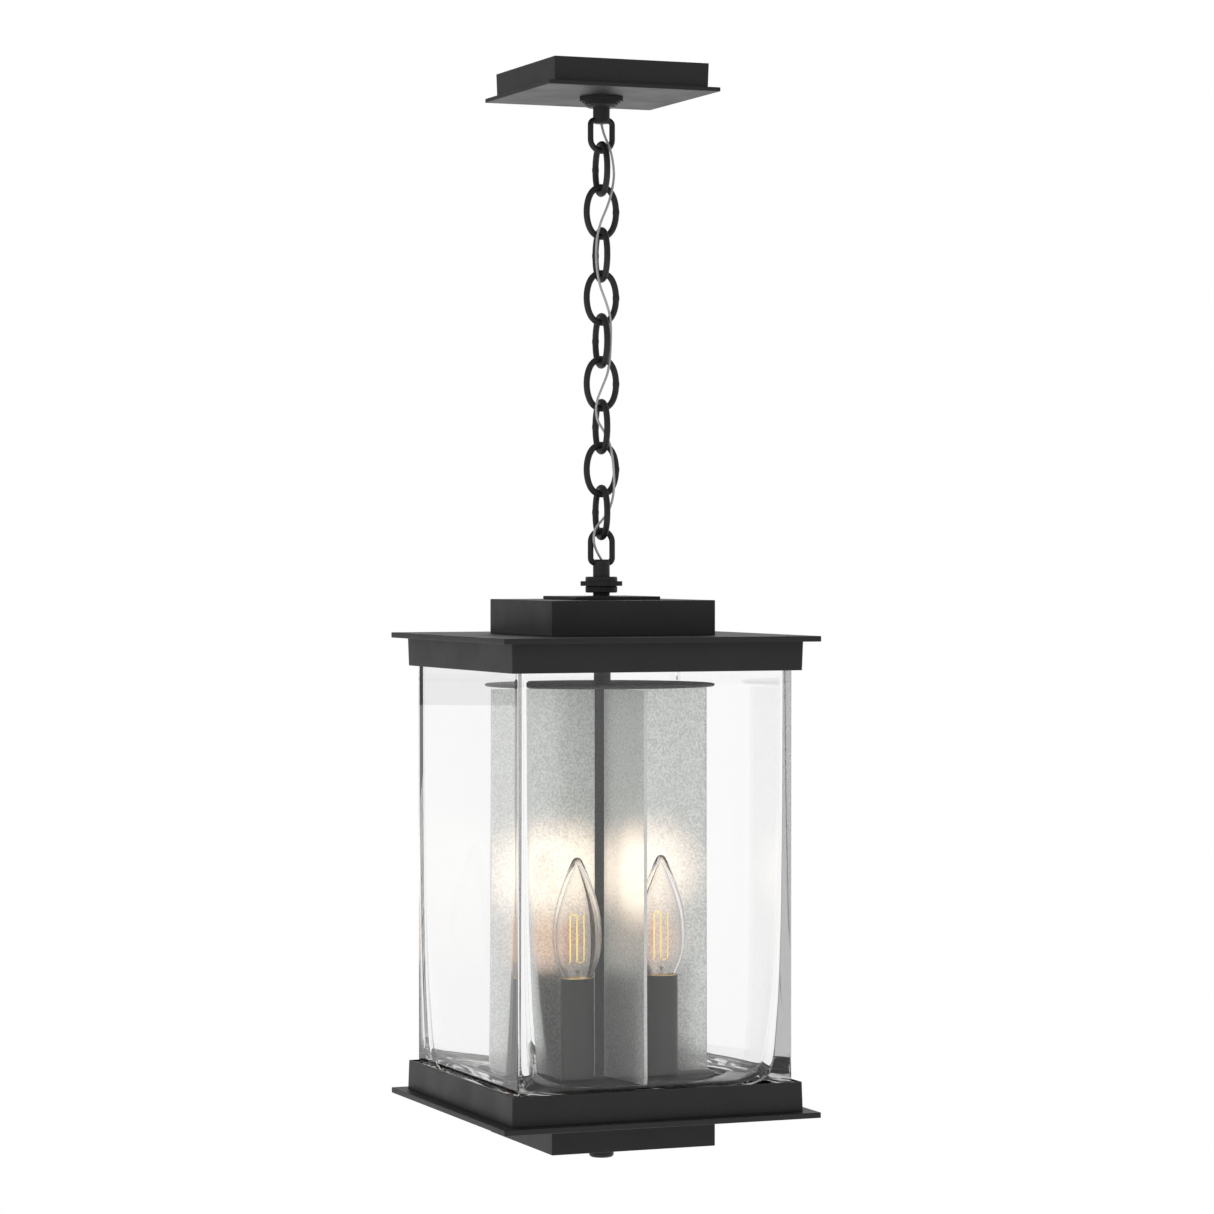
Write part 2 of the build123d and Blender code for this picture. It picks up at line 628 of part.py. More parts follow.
def supply_cord():
    """Thin two-core cord, straight runs joined by tangent arcs."""
    points = [Vector(*point) for point in CORD_ROUTE]
    radii = []
    for before, here, after in zip(points, points[1:], points[2:]):
        turn = (here - before).get_angle(after - here)
        shorter = min((here - before).length, (after - here).length)
        radii.append(0.45 * shorter / math.tan(math.radians(turn / 2)))
    path = FilletPolyline(*CORD_ROUTE, radius=radii)
    print("cord radii", [round(r, 1) for r in radii], "length", round(path.length, 1))
    section = Plane(origin=path @ 0, z_dir=path % 0) * RegularPolygon(CORD_DIAMETER / 2, CORD_SIDES)
    cord = sweep(section, path)
    print("cord volume / section x length", round(cord.volume / (section.area * path.length), 4))
    return cord


# ---------------------------------------------------------------- all the pieces
def build():
    parts = {
        "crossbar": crossbar(),
        "ground_screw": ground_screw(),
        "stem": tube(STEM_R, 0, STEM_BOTTOM, STEM_BORE_R),
        "stem_nut": hex_nut(-BAR_THICK, NUT_THICK, STEM_R),
        "canopy_loop": canopy_loop(),
        "canopy_pan": canopy_pan(),
        "canopy_plate": canopy_plate(),
        "canopy_collar_ring": canopy_collar_ring(),
        "supply_cord": supply_cord(),
        "fixture_loop": fixture_loop(),
        "coupling_ring": coupling_ring(),
        "lock_nut": lock_nut(),
        "roof_nipple": roof_nipple(),
        "roof_cap": roof_cap(),
        "roof_box": roof_box(),
        "roof_plate": roof_plate(),
        "roof_fascia": roof_fascia(),
        "glass_top_gasket": glass_top_gasket(),
        "centre_rod": centre_rod(),
        "hex_nuts": hex_nuts(),
        "top_disc": top_disc(),
        "cluster_plate": cluster_plate(),
        "lamp_sockets": lamp_sockets(),
        "lamp_leads": lamp_leads(),
        "splice_caps": splice_caps(),
        "glass_box": glass_box(),
        "glass_foot_gasket": glass_foot_gasket(),
        "base_tray": base_tray(),
        "base_plate": base_plate(),
        "base_box": base_box(),
        "finial_knob": finial_knob(),
    }
    link = chain_link()
    for number, top in enumerate(link_tops, start=1):
        turn = 90 if number % 2 else 0
        parts[f"chain_link_{number}"] = Pos(0, 0, top) * (Rot(0, 0, turn) * link)
    for number in range(1, 5):
        parts[f"diffuser_panel_{number}"] = diffuser_panel(90 * (number - 1))
        x, y = candle_places[number - 1]
        parts[f"candle_sleeve_{number}"] = candle_sleeve(x, y)
        parts[f"bulb_glass_{number}"] = bulb_glass(x, y)
        parts[f"bulb_base_{number}"] = bulb_base(x, y)
        parts[f"bulb_filament_{number}"] = bulb_filament(x, y)
    return parts


def main():
    os.makedirs("parts", exist_ok=True)
    for name, shape in build().items():
        if isinstance(shape, list):
            shape = Compound(children=[piece for item in shape for piece in item.solids()])
        export_step(shape, os.path.join("parts", name + ".step"))
    print("overall height", round(-knob_bottom, 2))


if __name__ == "__main__":
    main()
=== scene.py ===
import json
import math

import bpy
from bpy.props import FloatProperty, FloatVectorProperty, IntProperty, PointerProperty
from mathutils import Matrix, Vector


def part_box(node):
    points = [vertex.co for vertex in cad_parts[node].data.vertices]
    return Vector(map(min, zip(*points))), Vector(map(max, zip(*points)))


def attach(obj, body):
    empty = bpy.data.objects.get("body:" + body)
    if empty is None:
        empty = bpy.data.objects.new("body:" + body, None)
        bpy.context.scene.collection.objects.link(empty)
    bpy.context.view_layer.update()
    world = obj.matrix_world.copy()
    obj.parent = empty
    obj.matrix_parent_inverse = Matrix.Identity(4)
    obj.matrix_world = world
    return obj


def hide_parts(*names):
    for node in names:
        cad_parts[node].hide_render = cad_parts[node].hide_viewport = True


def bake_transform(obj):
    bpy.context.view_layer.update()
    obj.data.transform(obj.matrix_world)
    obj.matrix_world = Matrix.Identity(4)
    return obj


bl_info = {
    "name": "Hanging lantern",
    "version": (1, 0, 0),
    "blender": (4, 5, 0),
    "location": "View3D > Sidebar > Lantern",
    "description": "Finishes a square glass lantern on a chain and sets a plain studio round it",
    "category": "Object",
}

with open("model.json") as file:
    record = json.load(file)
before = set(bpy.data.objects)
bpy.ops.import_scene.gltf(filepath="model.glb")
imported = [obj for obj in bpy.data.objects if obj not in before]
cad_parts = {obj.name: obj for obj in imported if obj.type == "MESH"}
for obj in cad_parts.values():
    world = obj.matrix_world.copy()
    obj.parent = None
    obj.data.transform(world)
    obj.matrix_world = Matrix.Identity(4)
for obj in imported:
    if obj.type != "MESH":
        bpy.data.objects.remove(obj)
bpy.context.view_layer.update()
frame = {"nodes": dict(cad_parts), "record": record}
NODES = frame["nodes"]
RECORD = frame["record"]
BODY = {node: body for body, nodes in RECORD["behaviour"]["bodies"].items() for node in nodes}
SLOT = {part["node"]: part["material_slot"] for part in RECORD["subparts"]}
JOINT = {joint["name"]: joint for joint in RECORD["behaviour"]["joints"]}
CHAIN = [f"chain_link_{n}" for n in range(1, 10)]


# ---------------------------- sizes and colours
class LanternSizes(bpy.types.PropertyGroup):
    edge_round: FloatProperty(
        name="Sheet edge", description="Rounding of the painted sheet metal's edges", default=0.00045, unit="LENGTH")
    cord_diameter: FloatProperty(
        name="Cord", description="Diameter of the supply cord", default=0.0018, unit="LENGTH")
    weld_bulge: FloatProperty(
        name="Link weld", description="How far a chain link's weld stands out", default=0.00022, unit="LENGTH")
    glass_foot_round: FloatProperty(
        name="Glass foot", description="Outer rounding under the glass box", default=0.0028, unit="LENGTH")
    glass_rim_round: FloatProperty(
        name="Glass rim", description="Polished arris round the rim of the glass", default=0.0006, unit="LENGTH")
    cover_rim: FloatProperty(
        name="Candle rim", description="Rounding of a candle cover's upper rim", default=0.0004, unit="LENGTH")
    filament_wire: FloatProperty(
        name="Filament", description="Diameter of the filament's wire", default=0.00044, unit="LENGTH")
    turning_steps: IntProperty(
        name="Turning steps", description="Faces round each turned piece", default=64, min=24, max=128)


class LanternColours(bpy.types.PropertyGroup):
    paint: FloatVectorProperty(
        name="Paint", description="Black powder coat", default=(0.0145, 0.0145, 0.0142), subtype="COLOR", size=3)
    paint_light: FloatVectorProperty(
        name="Paint, worn", description="Powder coat where light catches its grain", default=(0.0205, 0.0205, 0.020),
        subtype="COLOR", size=3)
    cover: FloatVectorProperty(
        name="Candle cover", description="Painted candle covers", default=(0.022, 0.021, 0.019), subtype="COLOR",
        size=3)
    glass: FloatVectorProperty(
        name="Clear glass", description="Tint of the clear glass", default=(0.998, 1.0, 0.999), subtype="COLOR", size=3)
    frost: FloatVectorProperty(
        name="Frosted glass", description="Tint of the frosted sheets", default=(0.655, 0.67, 0.65),
        subtype="COLOR", size=3)
    glow: FloatVectorProperty(
        name="Glow", description="Lamp light on the frosted sheets", default=(0.61, 0.53, 0.43), subtype="COLOR",
        size=3)
    scattered: FloatVectorProperty(
        name="Scattered light", description="Light spread inside the frosted sheets", default=(0.068, 0.070, 0.067),
        subtype="COLOR", size=3)
    warm_glow: FloatVectorProperty(
        name="Warm glow", description="Filament light on the frosted sheets", default=(0.27, 0.13, 0.07),
        subtype="COLOR", size=3)
    filament: FloatVectorProperty(
        name="Filament", description="Lit filament", default=(1.0, 0.78, 0.10), subtype="COLOR", size=3)
    brass: FloatVectorProperty(
        name="Brass", description="Lamp bases", default=(0.78, 0.60, 0.30), subtype="COLOR", size=3)
    cord: FloatVectorProperty(
        name="Cord", description="Silver sheath of the supply cord", default=(0.48, 0.485, 0.48), subtype="COLOR",
        size=3)


class StageSettings(bpy.types.PropertyGroup):
    floor_height: FloatProperty(
        name="Floor", description="Height of the floor under the ceiling", default=-2.4, unit="LENGTH")
    world_light: FloatProperty(
        name="World light", description="Strength of the even light on the object", default=0.80, min=0.0)
    front_reflection: FloatProperty(
        name="Front reflection", description="Brightness of the studio's front in reflections", default=0.42, min=0.0)
    low_reflection: FloatProperty(
        name="Low reflection", description="Brightness of the studio's back under the horizon in reflections",
        default=0.36, min=0.0)
    high_reflection: FloatProperty(
        name="High reflection", description="Brightness of the studio's back over the horizon in reflections",
        default=1.18, min=0.0)
    camera_place: FloatVectorProperty(
        name="Camera", description="Where the camera stands", default=(-1.0707, -2.6646, -0.3506),
        subtype="TRANSLATION", size=3)
    camera_lens: FloatProperty(name="Lens", description="Focal length in millimetres", default=117.34)
    camera_turn: FloatProperty(
        name="Turn", description="Camera heading, from +Y towards +X", default=0.3835, subtype="ANGLE")
    camera_tilt: FloatProperty(name="Tilt", description="Camera tilt, up", default=-0.0137, subtype="ANGLE")


# ---------------------------- selecting and finishing
def deselect():
    """Object mode, with nothing selected."""
    if bpy.context.object and bpy.context.object.mode != "OBJECT":
        bpy.ops.object.mode_set(mode="OBJECT")
    bpy.ops.object.select_all(action="DESELECT")


def pick(piece):
    """Makes one piece the only selected and active object."""
    deselect()
    piece.select_set(True)
    bpy.context.view_layer.objects.active = piece


def edit_all(piece):
    """Goes to edit mode with the whole mesh selected."""
    pick(piece)
    bpy.ops.object.mode_set(mode="EDIT")
    bpy.ops.mesh.select_all(action="SELECT")


def into_scene(name, data):
    piece = bpy.data.objects.new(name, data)
    bpy.context.scene.collection.objects.link(piece)
    return piece


def pick_faces(piece, test):
    """Goes to edit mode with only the faces selected that pass a test."""
    bpy.ops.object.mode_set(mode="OBJECT")
    for vertex in piece.data.vertices:
        vertex.select = False
    for edge in piece.data.edges:
        edge.select = False
    for face in piece.data.polygons:
        face.select = bool(test(face))
    bpy.ops.object.mode_set(mode="EDIT")
    bpy.ops.mesh.select_mode(type="FACE")


def place_in_mesh(piece):
    """Puts the piece's place, turn and scale into its mesh, its object at the origin."""
    pick(piece)
    bpy.ops.object.transform_apply(location=True, rotation=True, scale=True)


def smooth(piece, degrees=35):
    """Shades a piece smooth, but sharp where it turns by more than an angle."""
    pick(piece)
    bpy.ops.object.shade_smooth_by_angle(angle=math.radians(degrees))


def paint(piece, name, material):
    """Names a piece and gives it its one finish."""
    piece.name = piece.data.name = name
    piece.data.materials.clear()
    piece.data.materials.append(bpy.data.materials[material])


def finish_piece(piece, name, material, node):
    """Names and paints a piece that stands for a CAD node and moves with its body."""
    paint(piece, name, material)
    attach(piece, BODY[node])
    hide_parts(node)


def finish_extra(piece, name, material, neighbour):
    """Names and paints a piece that stands for no CAD node and moves with a neighbour's body."""
    paint(piece, name, material)
    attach(piece, BODY[neighbour])


def apply_bevel(piece, width):
    """Rounds the edges that turn by more than 30 degrees."""
    pick(piece)
    bevel = piece.modifiers.new("edge", "BEVEL")
    bevel.width = width
    bevel.segments = 2
    bevel.limit_method = "ANGLE"
    bevel.angle_limit = math.radians(30)
    bpy.ops.object.modifier_apply(modifier=bevel.name)


def flatten_shading(piece):
    """Lets the large flat faces keep their own normals beside their rounded edges."""
    pick(piece)
    weighted = piece.modifiers.new("flat_faces", "WEIGHTED_NORMAL")
    weighted.keep_sharp = True
    weighted.weight = 100
    bpy.ops.object.modifier_apply(modifier=weighted.name)


def merged_copy(node):
    """A copy of a CAD node with its loose triangles joined into whole flat faces."""
    piece = into_scene(node, NODES[node].data.copy())
    pick(piece)
    if piece.data.has_custom_normals:
        bpy.ops.mesh.customdata_custom_splitnormals_clear()
    edit_all(piece)
    bpy.ops.mesh.remove_doubles(threshold=0.000002)
    bpy.ops.mesh.dissolve_limited(angle_limit=math.radians(0.5))
    bpy.ops.object.mode_set(mode="OBJECT")
    return piece


POLE = 0.000001      # radius that a turned piece's ends shrink to before they are merged


def spun(name, profile, steps):
    """Turned piece: a circle drawn ring by ring through (radius, height) points, its poles closed."""
    deselect()
    rings = [(max(radius, POLE), height) for radius, height in profile]
    bpy.ops.mesh.primitive_circle_add(vertices=steps, radius=rings[0][0], location=(0, 0, rings[0][1]))
    piece = bpy.context.object
    piece.name = piece.data.name = name
    place_in_mesh(piece)
    bpy.ops.object.mode_set(mode="EDIT")
    bpy.ops.mesh.select_mode(type="EDGE")
    bpy.ops.mesh.select_all(action="SELECT")
    for (radius, height), (next_radius, next_height) in zip(rings, rings[1:]):
        bpy.ops.mesh.extrude_region_move(TRANSFORM_OT_translate={"value": (0, 0, next_height - height)})
        grow = next_radius / radius
        bpy.ops.transform.resize(value=(grow, grow, 1), center_override=(0, 0, 0))
    bpy.ops.mesh.select_all(action="SELECT")
    bpy.ops.mesh.remove_doubles(threshold=3 * POLE)
    bpy.ops.mesh.normals_make_consistent(inside=False)
    bpy.ops.object.mode_set(mode="OBJECT")
    return piece


def own_copy(piece, offset=(0, 0, 0)):
    """A copy with its own mesh, moved inside the mesh."""
    twin = piece.copy()
    twin.data = piece.data.copy()
    twin.data.transform(Matrix.Translation(Vector(offset)))
    bpy.context.scene.collection.objects.link(twin)
    return twin


def stacked_rings(name, rings):
    """Closed skin over rings of as many points each, the last joined to the first."""
    count, total = len(rings[0]), len(rings)
    faces = []
    for i in range(total):
        for j in range(count):
            a, b = i * count + j, i * count + (j + 1) % count
            c, d = ((i + 1) % total) * count + (j + 1) % count, ((i + 1) % total) * count + j
            faces.append((a, b, c, d))
    mesh = bpy.data.meshes.new(name)
    mesh.from_pydata([point for ring in rings for point in ring], [], faces)
    piece = into_scene(name, mesh)
    edit_all(piece)
    bpy.ops.mesh.normals_make_consistent(inside=False)
    bpy.ops.object.mode_set(mode="OBJECT")
    return piece


ARC_POINTS = 10      # points on each corner of a rounded square
FLAT_MARGIN = 0.0004      # a point this far along each straight side keeps the side flat to the light


def rounded_square(side, radius, height):
    ring = []
    for corner in range(4):
        turn = Matrix.Rotation(math.radians(90 * corner), 2)
        reach = side / 2 - radius
        points = [(side / 2, reach - FLAT_MARGIN)]
        for j in range(ARC_POINTS):
            angle = math.radians(90 * j / (ARC_POINTS - 1))
            points.append((reach + radius * math.cos(angle), reach + radius * math.sin(angle)))
        points.append((reach - FLAT_MARGIN, side / 2))
        ring += [(*(turn @ Vector(point)), height) for point in points]
    return ring


def even_circle(radius, height):
    """Circle with as many points as a rounded square, in step with its corners."""
    count = 4 * (ARC_POINTS + 2)
    angles = [math.tau * (j + 0.5) / count for j in range(count)]
    return [(radius * math.cos(a), radius * math.sin(a), height) for a in angles]


def lamp_axes():
    """(x, y) of each lamp's axis."""
    boxes = [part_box(f"bulb_glass_{n}") for n in range(1, 5)]
    return [((low.x + high.x) / 2, (low.y + high.y) / 2) for low, high in boxes]


# ---------------------------- shader building
def fill(tree, node, *values, **named):
    """Sets a node's sockets: plain values in their order, capitalised names by label, with _ for a space.

    Other names are the node's own settings. A value that is an output is linked.
    """
    for label, value in named.items():
        if label[0].islower():
            setattr(node, label, value)
    sockets = list(zip(node.inputs, values))
    sockets += [(node.inputs[label.replace("_", " ")], value) for label, value in named.items() if label[0].isupper()]
    for socket, value in sockets:
        if isinstance(value, bpy.types.NodeSocket):
            tree.links.new(value, socket)
        else:
            socket.default_value = value


def add_node(tree, kind, *values, **named):
    node = tree.nodes.new(f"ShaderNode{kind}")
    fill(tree, node, *values, **named)
    return node


def new_material(name):
    """A material's node tree, its one surface shader and its output."""
    material = bpy.data.materials.new(name)
    material.use_nodes = True
    tree = material.node_tree
    tree.nodes.clear()
    shader = add_node(tree, "BsdfPrincipled")
    return tree, shader, add_node(tree, "OutputMaterial", Surface=shader.outputs[0])


def object_coordinates(tree):
    return add_node(tree, "TexCoord").outputs["Object"]


def ramp(tree, value, low, high, ends=(0.0, 1.0), shape="SMOOTHSTEP"):
    """Runs between two ends while a value runs from low to high."""
    return add_node(tree, "MapRange", value, interpolation_type=shape, From_Min=low, From_Max=high,
                    To_Min=ends[0], To_Max=ends[1]).outputs["Result"]


def highest(tree, outputs):
    top = outputs[0]
    for other in outputs[1:]:
        top = add_node(tree, "Math", top, other, operation="MAXIMUM").outputs[0]
    return top


def length_of(tree, vector):
    return add_node(tree, "VectorMath", vector, operation="LENGTH").outputs["Value"]


def mix_colours(tree, factor, low, high):
    """Runs from one colour to another, each given as a colour or as an output."""
    low, high = (c if isinstance(c, bpy.types.NodeSocket) else (*c, 1) for c in (low, high))
    return add_node(tree, "Mix", data_type="RGBA", Factor=factor, A=low, B=high).outputs["Result"]


def bump(tree, height, strength, distance):
    return add_node(tree, "Bump", Strength=strength, Distance=distance, Height=height).outputs["Normal"]


def grain_group():
    """Fine and coarse grain of a sprayed or blasted skin: a tone, a roughness and a height."""
    group = bpy.data.node_groups.new("sprayed_grain", "ShaderNodeTree")
    face = group.interface
    face.new_socket("Vector", in_out="INPUT", socket_type="NodeSocketVector")
    for label, value in (("Fine Scale", 900.0), ("Coarse Scale", 40.0), ("Rough Low", 0.4), ("Rough High", 0.55),
                         ("Tone Low", 0.9), ("Tone High", 1.1)):
        face.new_socket(label, in_out="INPUT", socket_type="NodeSocketFloat").default_value = value
    for label in ("Tone", "Roughness", "Height"):
        face.new_socket(label, in_out="OUTPUT", socket_type="NodeSocketFloat")
    start, end = group.nodes.new("NodeGroupInput").outputs, group.nodes.new("NodeGroupOutput")
    fine = add_node(group, "TexNoise", Vector=start["Vector"], Scale=start["Fine Scale"], Detail=2.0).outputs["Fac"]
    coarse = add_node(group, "TexNoise", Vector=start["Vector"], Scale=start["Coarse Scale"], Detail=5.0).outputs["Fac"]
    tone = ramp(group, fine, 0.3, 0.7, (start["Tone Low"], start["Tone High"]), "LINEAR")
    roughness = ramp(group, coarse, 0.3, 0.7, (start["Rough Low"], start["Rough High"]), "LINEAR")
    fill(group, end, Tone=tone, Roughness=roughness, Height=fine)


def use_grain(tree, place, fine, coarse, rough, tone=(0.0, 1.0)):
    """The grain group's outputs, for fine and coarse grains in a metre and the limits of roughness and tone."""
    return add_node(tree, "Group", node_tree=bpy.data.node_groups["sprayed_grain"], Vector=place, Fine_Scale=fine,
                    Coarse_Scale=coarse, Rough_Low=rough[0], Rough_High=rough[1], Tone_Low=tone[0],
                    Tone_High=tone[1]).outputs


def grainy(name, low, high, fine, coarse, rough, relief, depth, **settings):
    """A material between two colours, roughened and embossed by the grain."""
    tree, shader, _ = new_material(name)
    grain = use_grain(tree, object_coordinates(tree), fine, coarse, rough)
    fill(tree, shader, Base_Color=mix_colours(tree, grain["Tone"], low, high), Roughness=grain["Roughness"],
         Normal=bump(tree, grain["Height"], relief, depth), **settings)


def powder_coat(name, low, high, rough, gloss, relief, fineness=1300.0):
    grainy(name, low, high, fineness, 30.0, rough, relief, 0.00012, Specular_IOR_Level=gloss)


def clear_glass(name, tint, streak_scale, streak_strength, greyness=0.0, edge_on_shade=None):
    """Clear glass with a faint wave in its skin, that greys over a long way through it; given an outline colour, it
    also gets painted shade that darkens it where it is seen edge-on.
    """
    tree, shader, out = new_material(name)
    colour = (*tint, 1)
    if greyness:
        depth = add_node(tree, "VolumeAbsorption", Color=(0.38, 0.385, 0.38, 1), Density=greyness)
        fill(tree, out, Volume=depth.outputs[0])
    if edge_on_shade:
        # painted shade: the glass darkens towards its outline, where it is seen edge-on
        facing = add_node(tree, "LayerWeight", Blend=0.5).outputs["Facing"]
        colour = mix_colours(tree, ramp(tree, facing, 0.40, 0.92), tint, edge_on_shade)
        fill(tree, shader, Specular_Tint=(0.34, 0.29, 0.26, 1))
    waves = add_node(tree, "TexNoise", Vector=object_coordinates(tree), Scale=streak_scale).outputs["Fac"]
    fill(tree, shader, Base_Color=colour, Transmission_Weight=1.0, Roughness=0.0, IOR=1.5,
         Normal=bump(tree, waves, streak_strength, 0.001))
    # the studio's lamps shine through
    path, clear = add_node(tree, "LightPath"), add_node(tree, "BsdfTransparent")
    mix = add_node(tree, "MixShader", path.outputs["Is Shadow Ray"], shader.outputs[0], clear.outputs[0])
    fill(tree, out, Surface=mix.outputs[0])


def glow_mask(tree, place, centre, radius):
    """1 at a point on a sheet, falling smoothly to 0 at a radius that is a third longer sideways than upwards."""
    offset = add_node(tree, "VectorMath", place, centre, operation="SUBTRACT").outputs[0]
    narrowed = add_node(tree, "VectorMath", offset, (0.75, 0.75, 1.0), operation="MULTIPLY").outputs[0]
    return ramp(tree, length_of(tree, narrowed), 0.3 * radius, radius, (1.0, 0.0))


BLACK = (0.0, 0.0, 0.0)


class LANTERN_OT_finishes(bpy.types.Operator):
    """Makes every finish and paints the CAD nodes with them"""
    bl_idname = "lantern.finishes"
    bl_label = "Finishes"

    def execute(self, context):
        colours = context.scene.lantern_colours
        grain_group()
        powder_coat("black_powder_coat", colours.paint, colours.paint_light, (0.42, 0.52), 0.36, 0.12)
        powder_coat("inner_powder_coat", colours.paint, colours.paint_light, (0.46, 0.56), 0.24, 0.1)
        powder_coat("candle_cover_paint", colours.cover, [1.06 * c for c in colours.cover], (0.48, 0.56), 0.20, 0.02,
                    fineness=260.0)
        clear_glass("case_glass", colours.glass, 9.0, 0.02, greyness=5.6)
        clear_glass("lamp_glass", (0.955, 0.935, 0.925), 45.0, 0.05, edge_on_shade=(0.04, 0.03, 0.028))
        self.frosted_glass(colours)
        self.ground_edge()
        for name, colour, rough in (("lamp_brass", colours.brass, (0.22, 0.36)),
                                    ("zinc_plate", (0.55, 0.56, 0.56), (0.30, 0.5))):
            grainy(name, [0.85 * c for c in colour], colour, 500.0, 120.0, rough, 0.1, 0.00005, Metallic=1.0)
        for name, low, high, rough in (
                ("socket_plastic", (0.012, 0.011, 0.010), (0.022, 0.020, 0.018), (0.45, 0.6)),
                ("gasket_rubber", (0.010, 0.010, 0.010), (0.018, 0.018, 0.018), (0.7, 0.85)),
                ("clear_sealant", (0.08, 0.081, 0.08), (0.20, 0.202, 0.20), (0.18, 0.35))):
            grainy(name, low, high, 800.0, 90.0, rough, 0.15, 0.00008)
        grainy("silver_sheath", [0.85 * c for c in colours.cord], colours.cord, 800.0, 90.0, (0.28, 0.40), 0.15,
               0.00008, Metallic=0.35, Coat_Weight=0.5)
        tree, shader, _ = new_material("lit_filament")
        fill(tree, shader, Base_Color=(0.9, 0.6, 0.3, 1), Roughness=0.5, Emission_Color=(*colours.filament, 1),
             Emission_Strength=1.0)
        finish_of = {
            "black_metal": "black_powder_coat", "clear_glass": "case_glass", "frosted_glass": "blasted_glass",
            "bulb_glass": "lamp_glass", "filament": "lit_filament", "brass": "lamp_brass",
            "dark_plastic": "socket_plastic", "gasket": "gasket_rubber", "steel": "zinc_plate",
            "silver_cord": "silver_sheath",
        }
        for node, obj in NODES.items():
            obj.data.materials.clear()
            obj.data.materials.append(bpy.data.materials[finish_of[SLOT[node]]])
        return {"FINISHED"}

    def frosted_glass(self, colours):
        tree, shader, _ = new_material("blasted_glass")
        place = object_coordinates(tree)
        grain = use_grain(tree, place, 600.0, 60.0, (0.29, 0.35), tone=(-0.65, 1.6))
        low, high = [0.74 * c for c in colours.frost], [min(1.0, 1.28 * c) for c in colours.frost]
        # painted shade: beside the candle sleeves the sheets' tone is a fifth darker
        sleeve_shaded_frost = mix_colours(tree, grain["Tone"], [0.8 * c for c in low], [0.8 * c for c in high])
        plain = mix_colours(tree, grain["Tone"], low, high)
        clear = self.outside_painted_sleeve_shade(tree, place)
        fill(tree, shader, Base_Color=mix_colours(tree, clear, sleeve_shaded_frost, plain), Roughness=grain["Roughness"],
             Transmission_Weight=0.80, IOR=1.45, Normal=bump(tree, grain["Height"], 0.4, 0.0004))
        # painted lamp light: the sheets glow by emission near the lamps' tips and filaments, and with painted scattered
        # light elsewhere
        glow, filament_glow = self.lamp_light(tree, place)
        # painted shade: the painted scattered light fades out beside the candle sleeves
        scattered = mix_colours(tree, clear, BLACK, colours.scattered)
        scattered_and_filament_glow = mix_colours(tree, filament_glow, scattered, mix_colours(tree, filament_glow, BLACK, colours.warm_glow))
        tip_glow_colours = add_node(tree, "ValToRGB", glow)
        stops = tip_glow_colours.color_ramp.elements
        stops[0].color = (0.62, 0.43, 0.33, 1)
        stops[1].color = (*colours.glow, 1)
        fill(tree, shader, Emission_Color=mix_colours(tree, glow, scattered_and_filament_glow, tip_glow_colours.outputs["Color"]),
             Emission_Strength=0.62)

    def outside_painted_sleeve_shade(self, tree, place):
        """Mask of painted shade: 0 where a sheet stands close to the candle sleeves, 1 above them and further out."""
        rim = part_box("candle_sleeve_1")[1].z
        level = add_node(tree, "VectorMath", place, (1.0, 1.0, 0.0), operation="MULTIPLY").outputs[0]
        height = add_node(tree, "SeparateXYZ", place).outputs["Z"]
        return highest(tree, [ramp(tree, length_of(tree, level), 0.056, 0.080),
                              ramp(tree, height, rim - 0.008, rim + 0.014)])

    def lamp_light(self, tree, place):
        """Where the lamps light the sheets, near their tips and near their filaments, broken up by the grain."""
        scatter = add_node(tree, "TexNoise", Vector=place, Scale=620.0, Detail=1.0).outputs["Color"]
        centred = add_node(tree, "VectorMath", scatter, (0.5, 0.5, 0.5), operation="SUBTRACT").outputs[0]
        spread = (0.022, 0.022, 0.022)
        shifted = add_node(tree, "VectorMath", centred, spread, place, operation="MULTIPLY_ADD").outputs[0]
        tips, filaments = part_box("bulb_glass_1")[1].z - 0.012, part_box("candle_sleeve_1")[1].z + 0.024
        # height, radius, and (x, y) on the right, back, left and front sheets
        patches = ((tips, 0.048, ((0.030, 0), (0, 0.044), (-0.044, 0), (0, -0.067))),
                   (filaments, 0.034, ((0.037, 0), (0, 0.044), (-0.044, 0))))
        return [highest(tree, [glow_mask(tree, shifted, (x, y, height), radius) for x, y in centres])
                for height, radius, centres in patches]

    def ground_edge(self):
        tree, shader, _ = new_material("ground_edge")
        grain = use_grain(tree, object_coordinates(tree), 900.0, 80.0, (0.4, 0.6))
        light = mix_colours(tree, grain["Tone"], (0.62, 0.63, 0.61), (0.78, 0.79, 0.77))
        # painted glint: the ground edges are lit up by a faint emission of their own colour
        fill(tree, shader, Base_Color=light, Emission_Color=light, Roughness=grain["Roughness"],
             Emission_Strength=0.12)


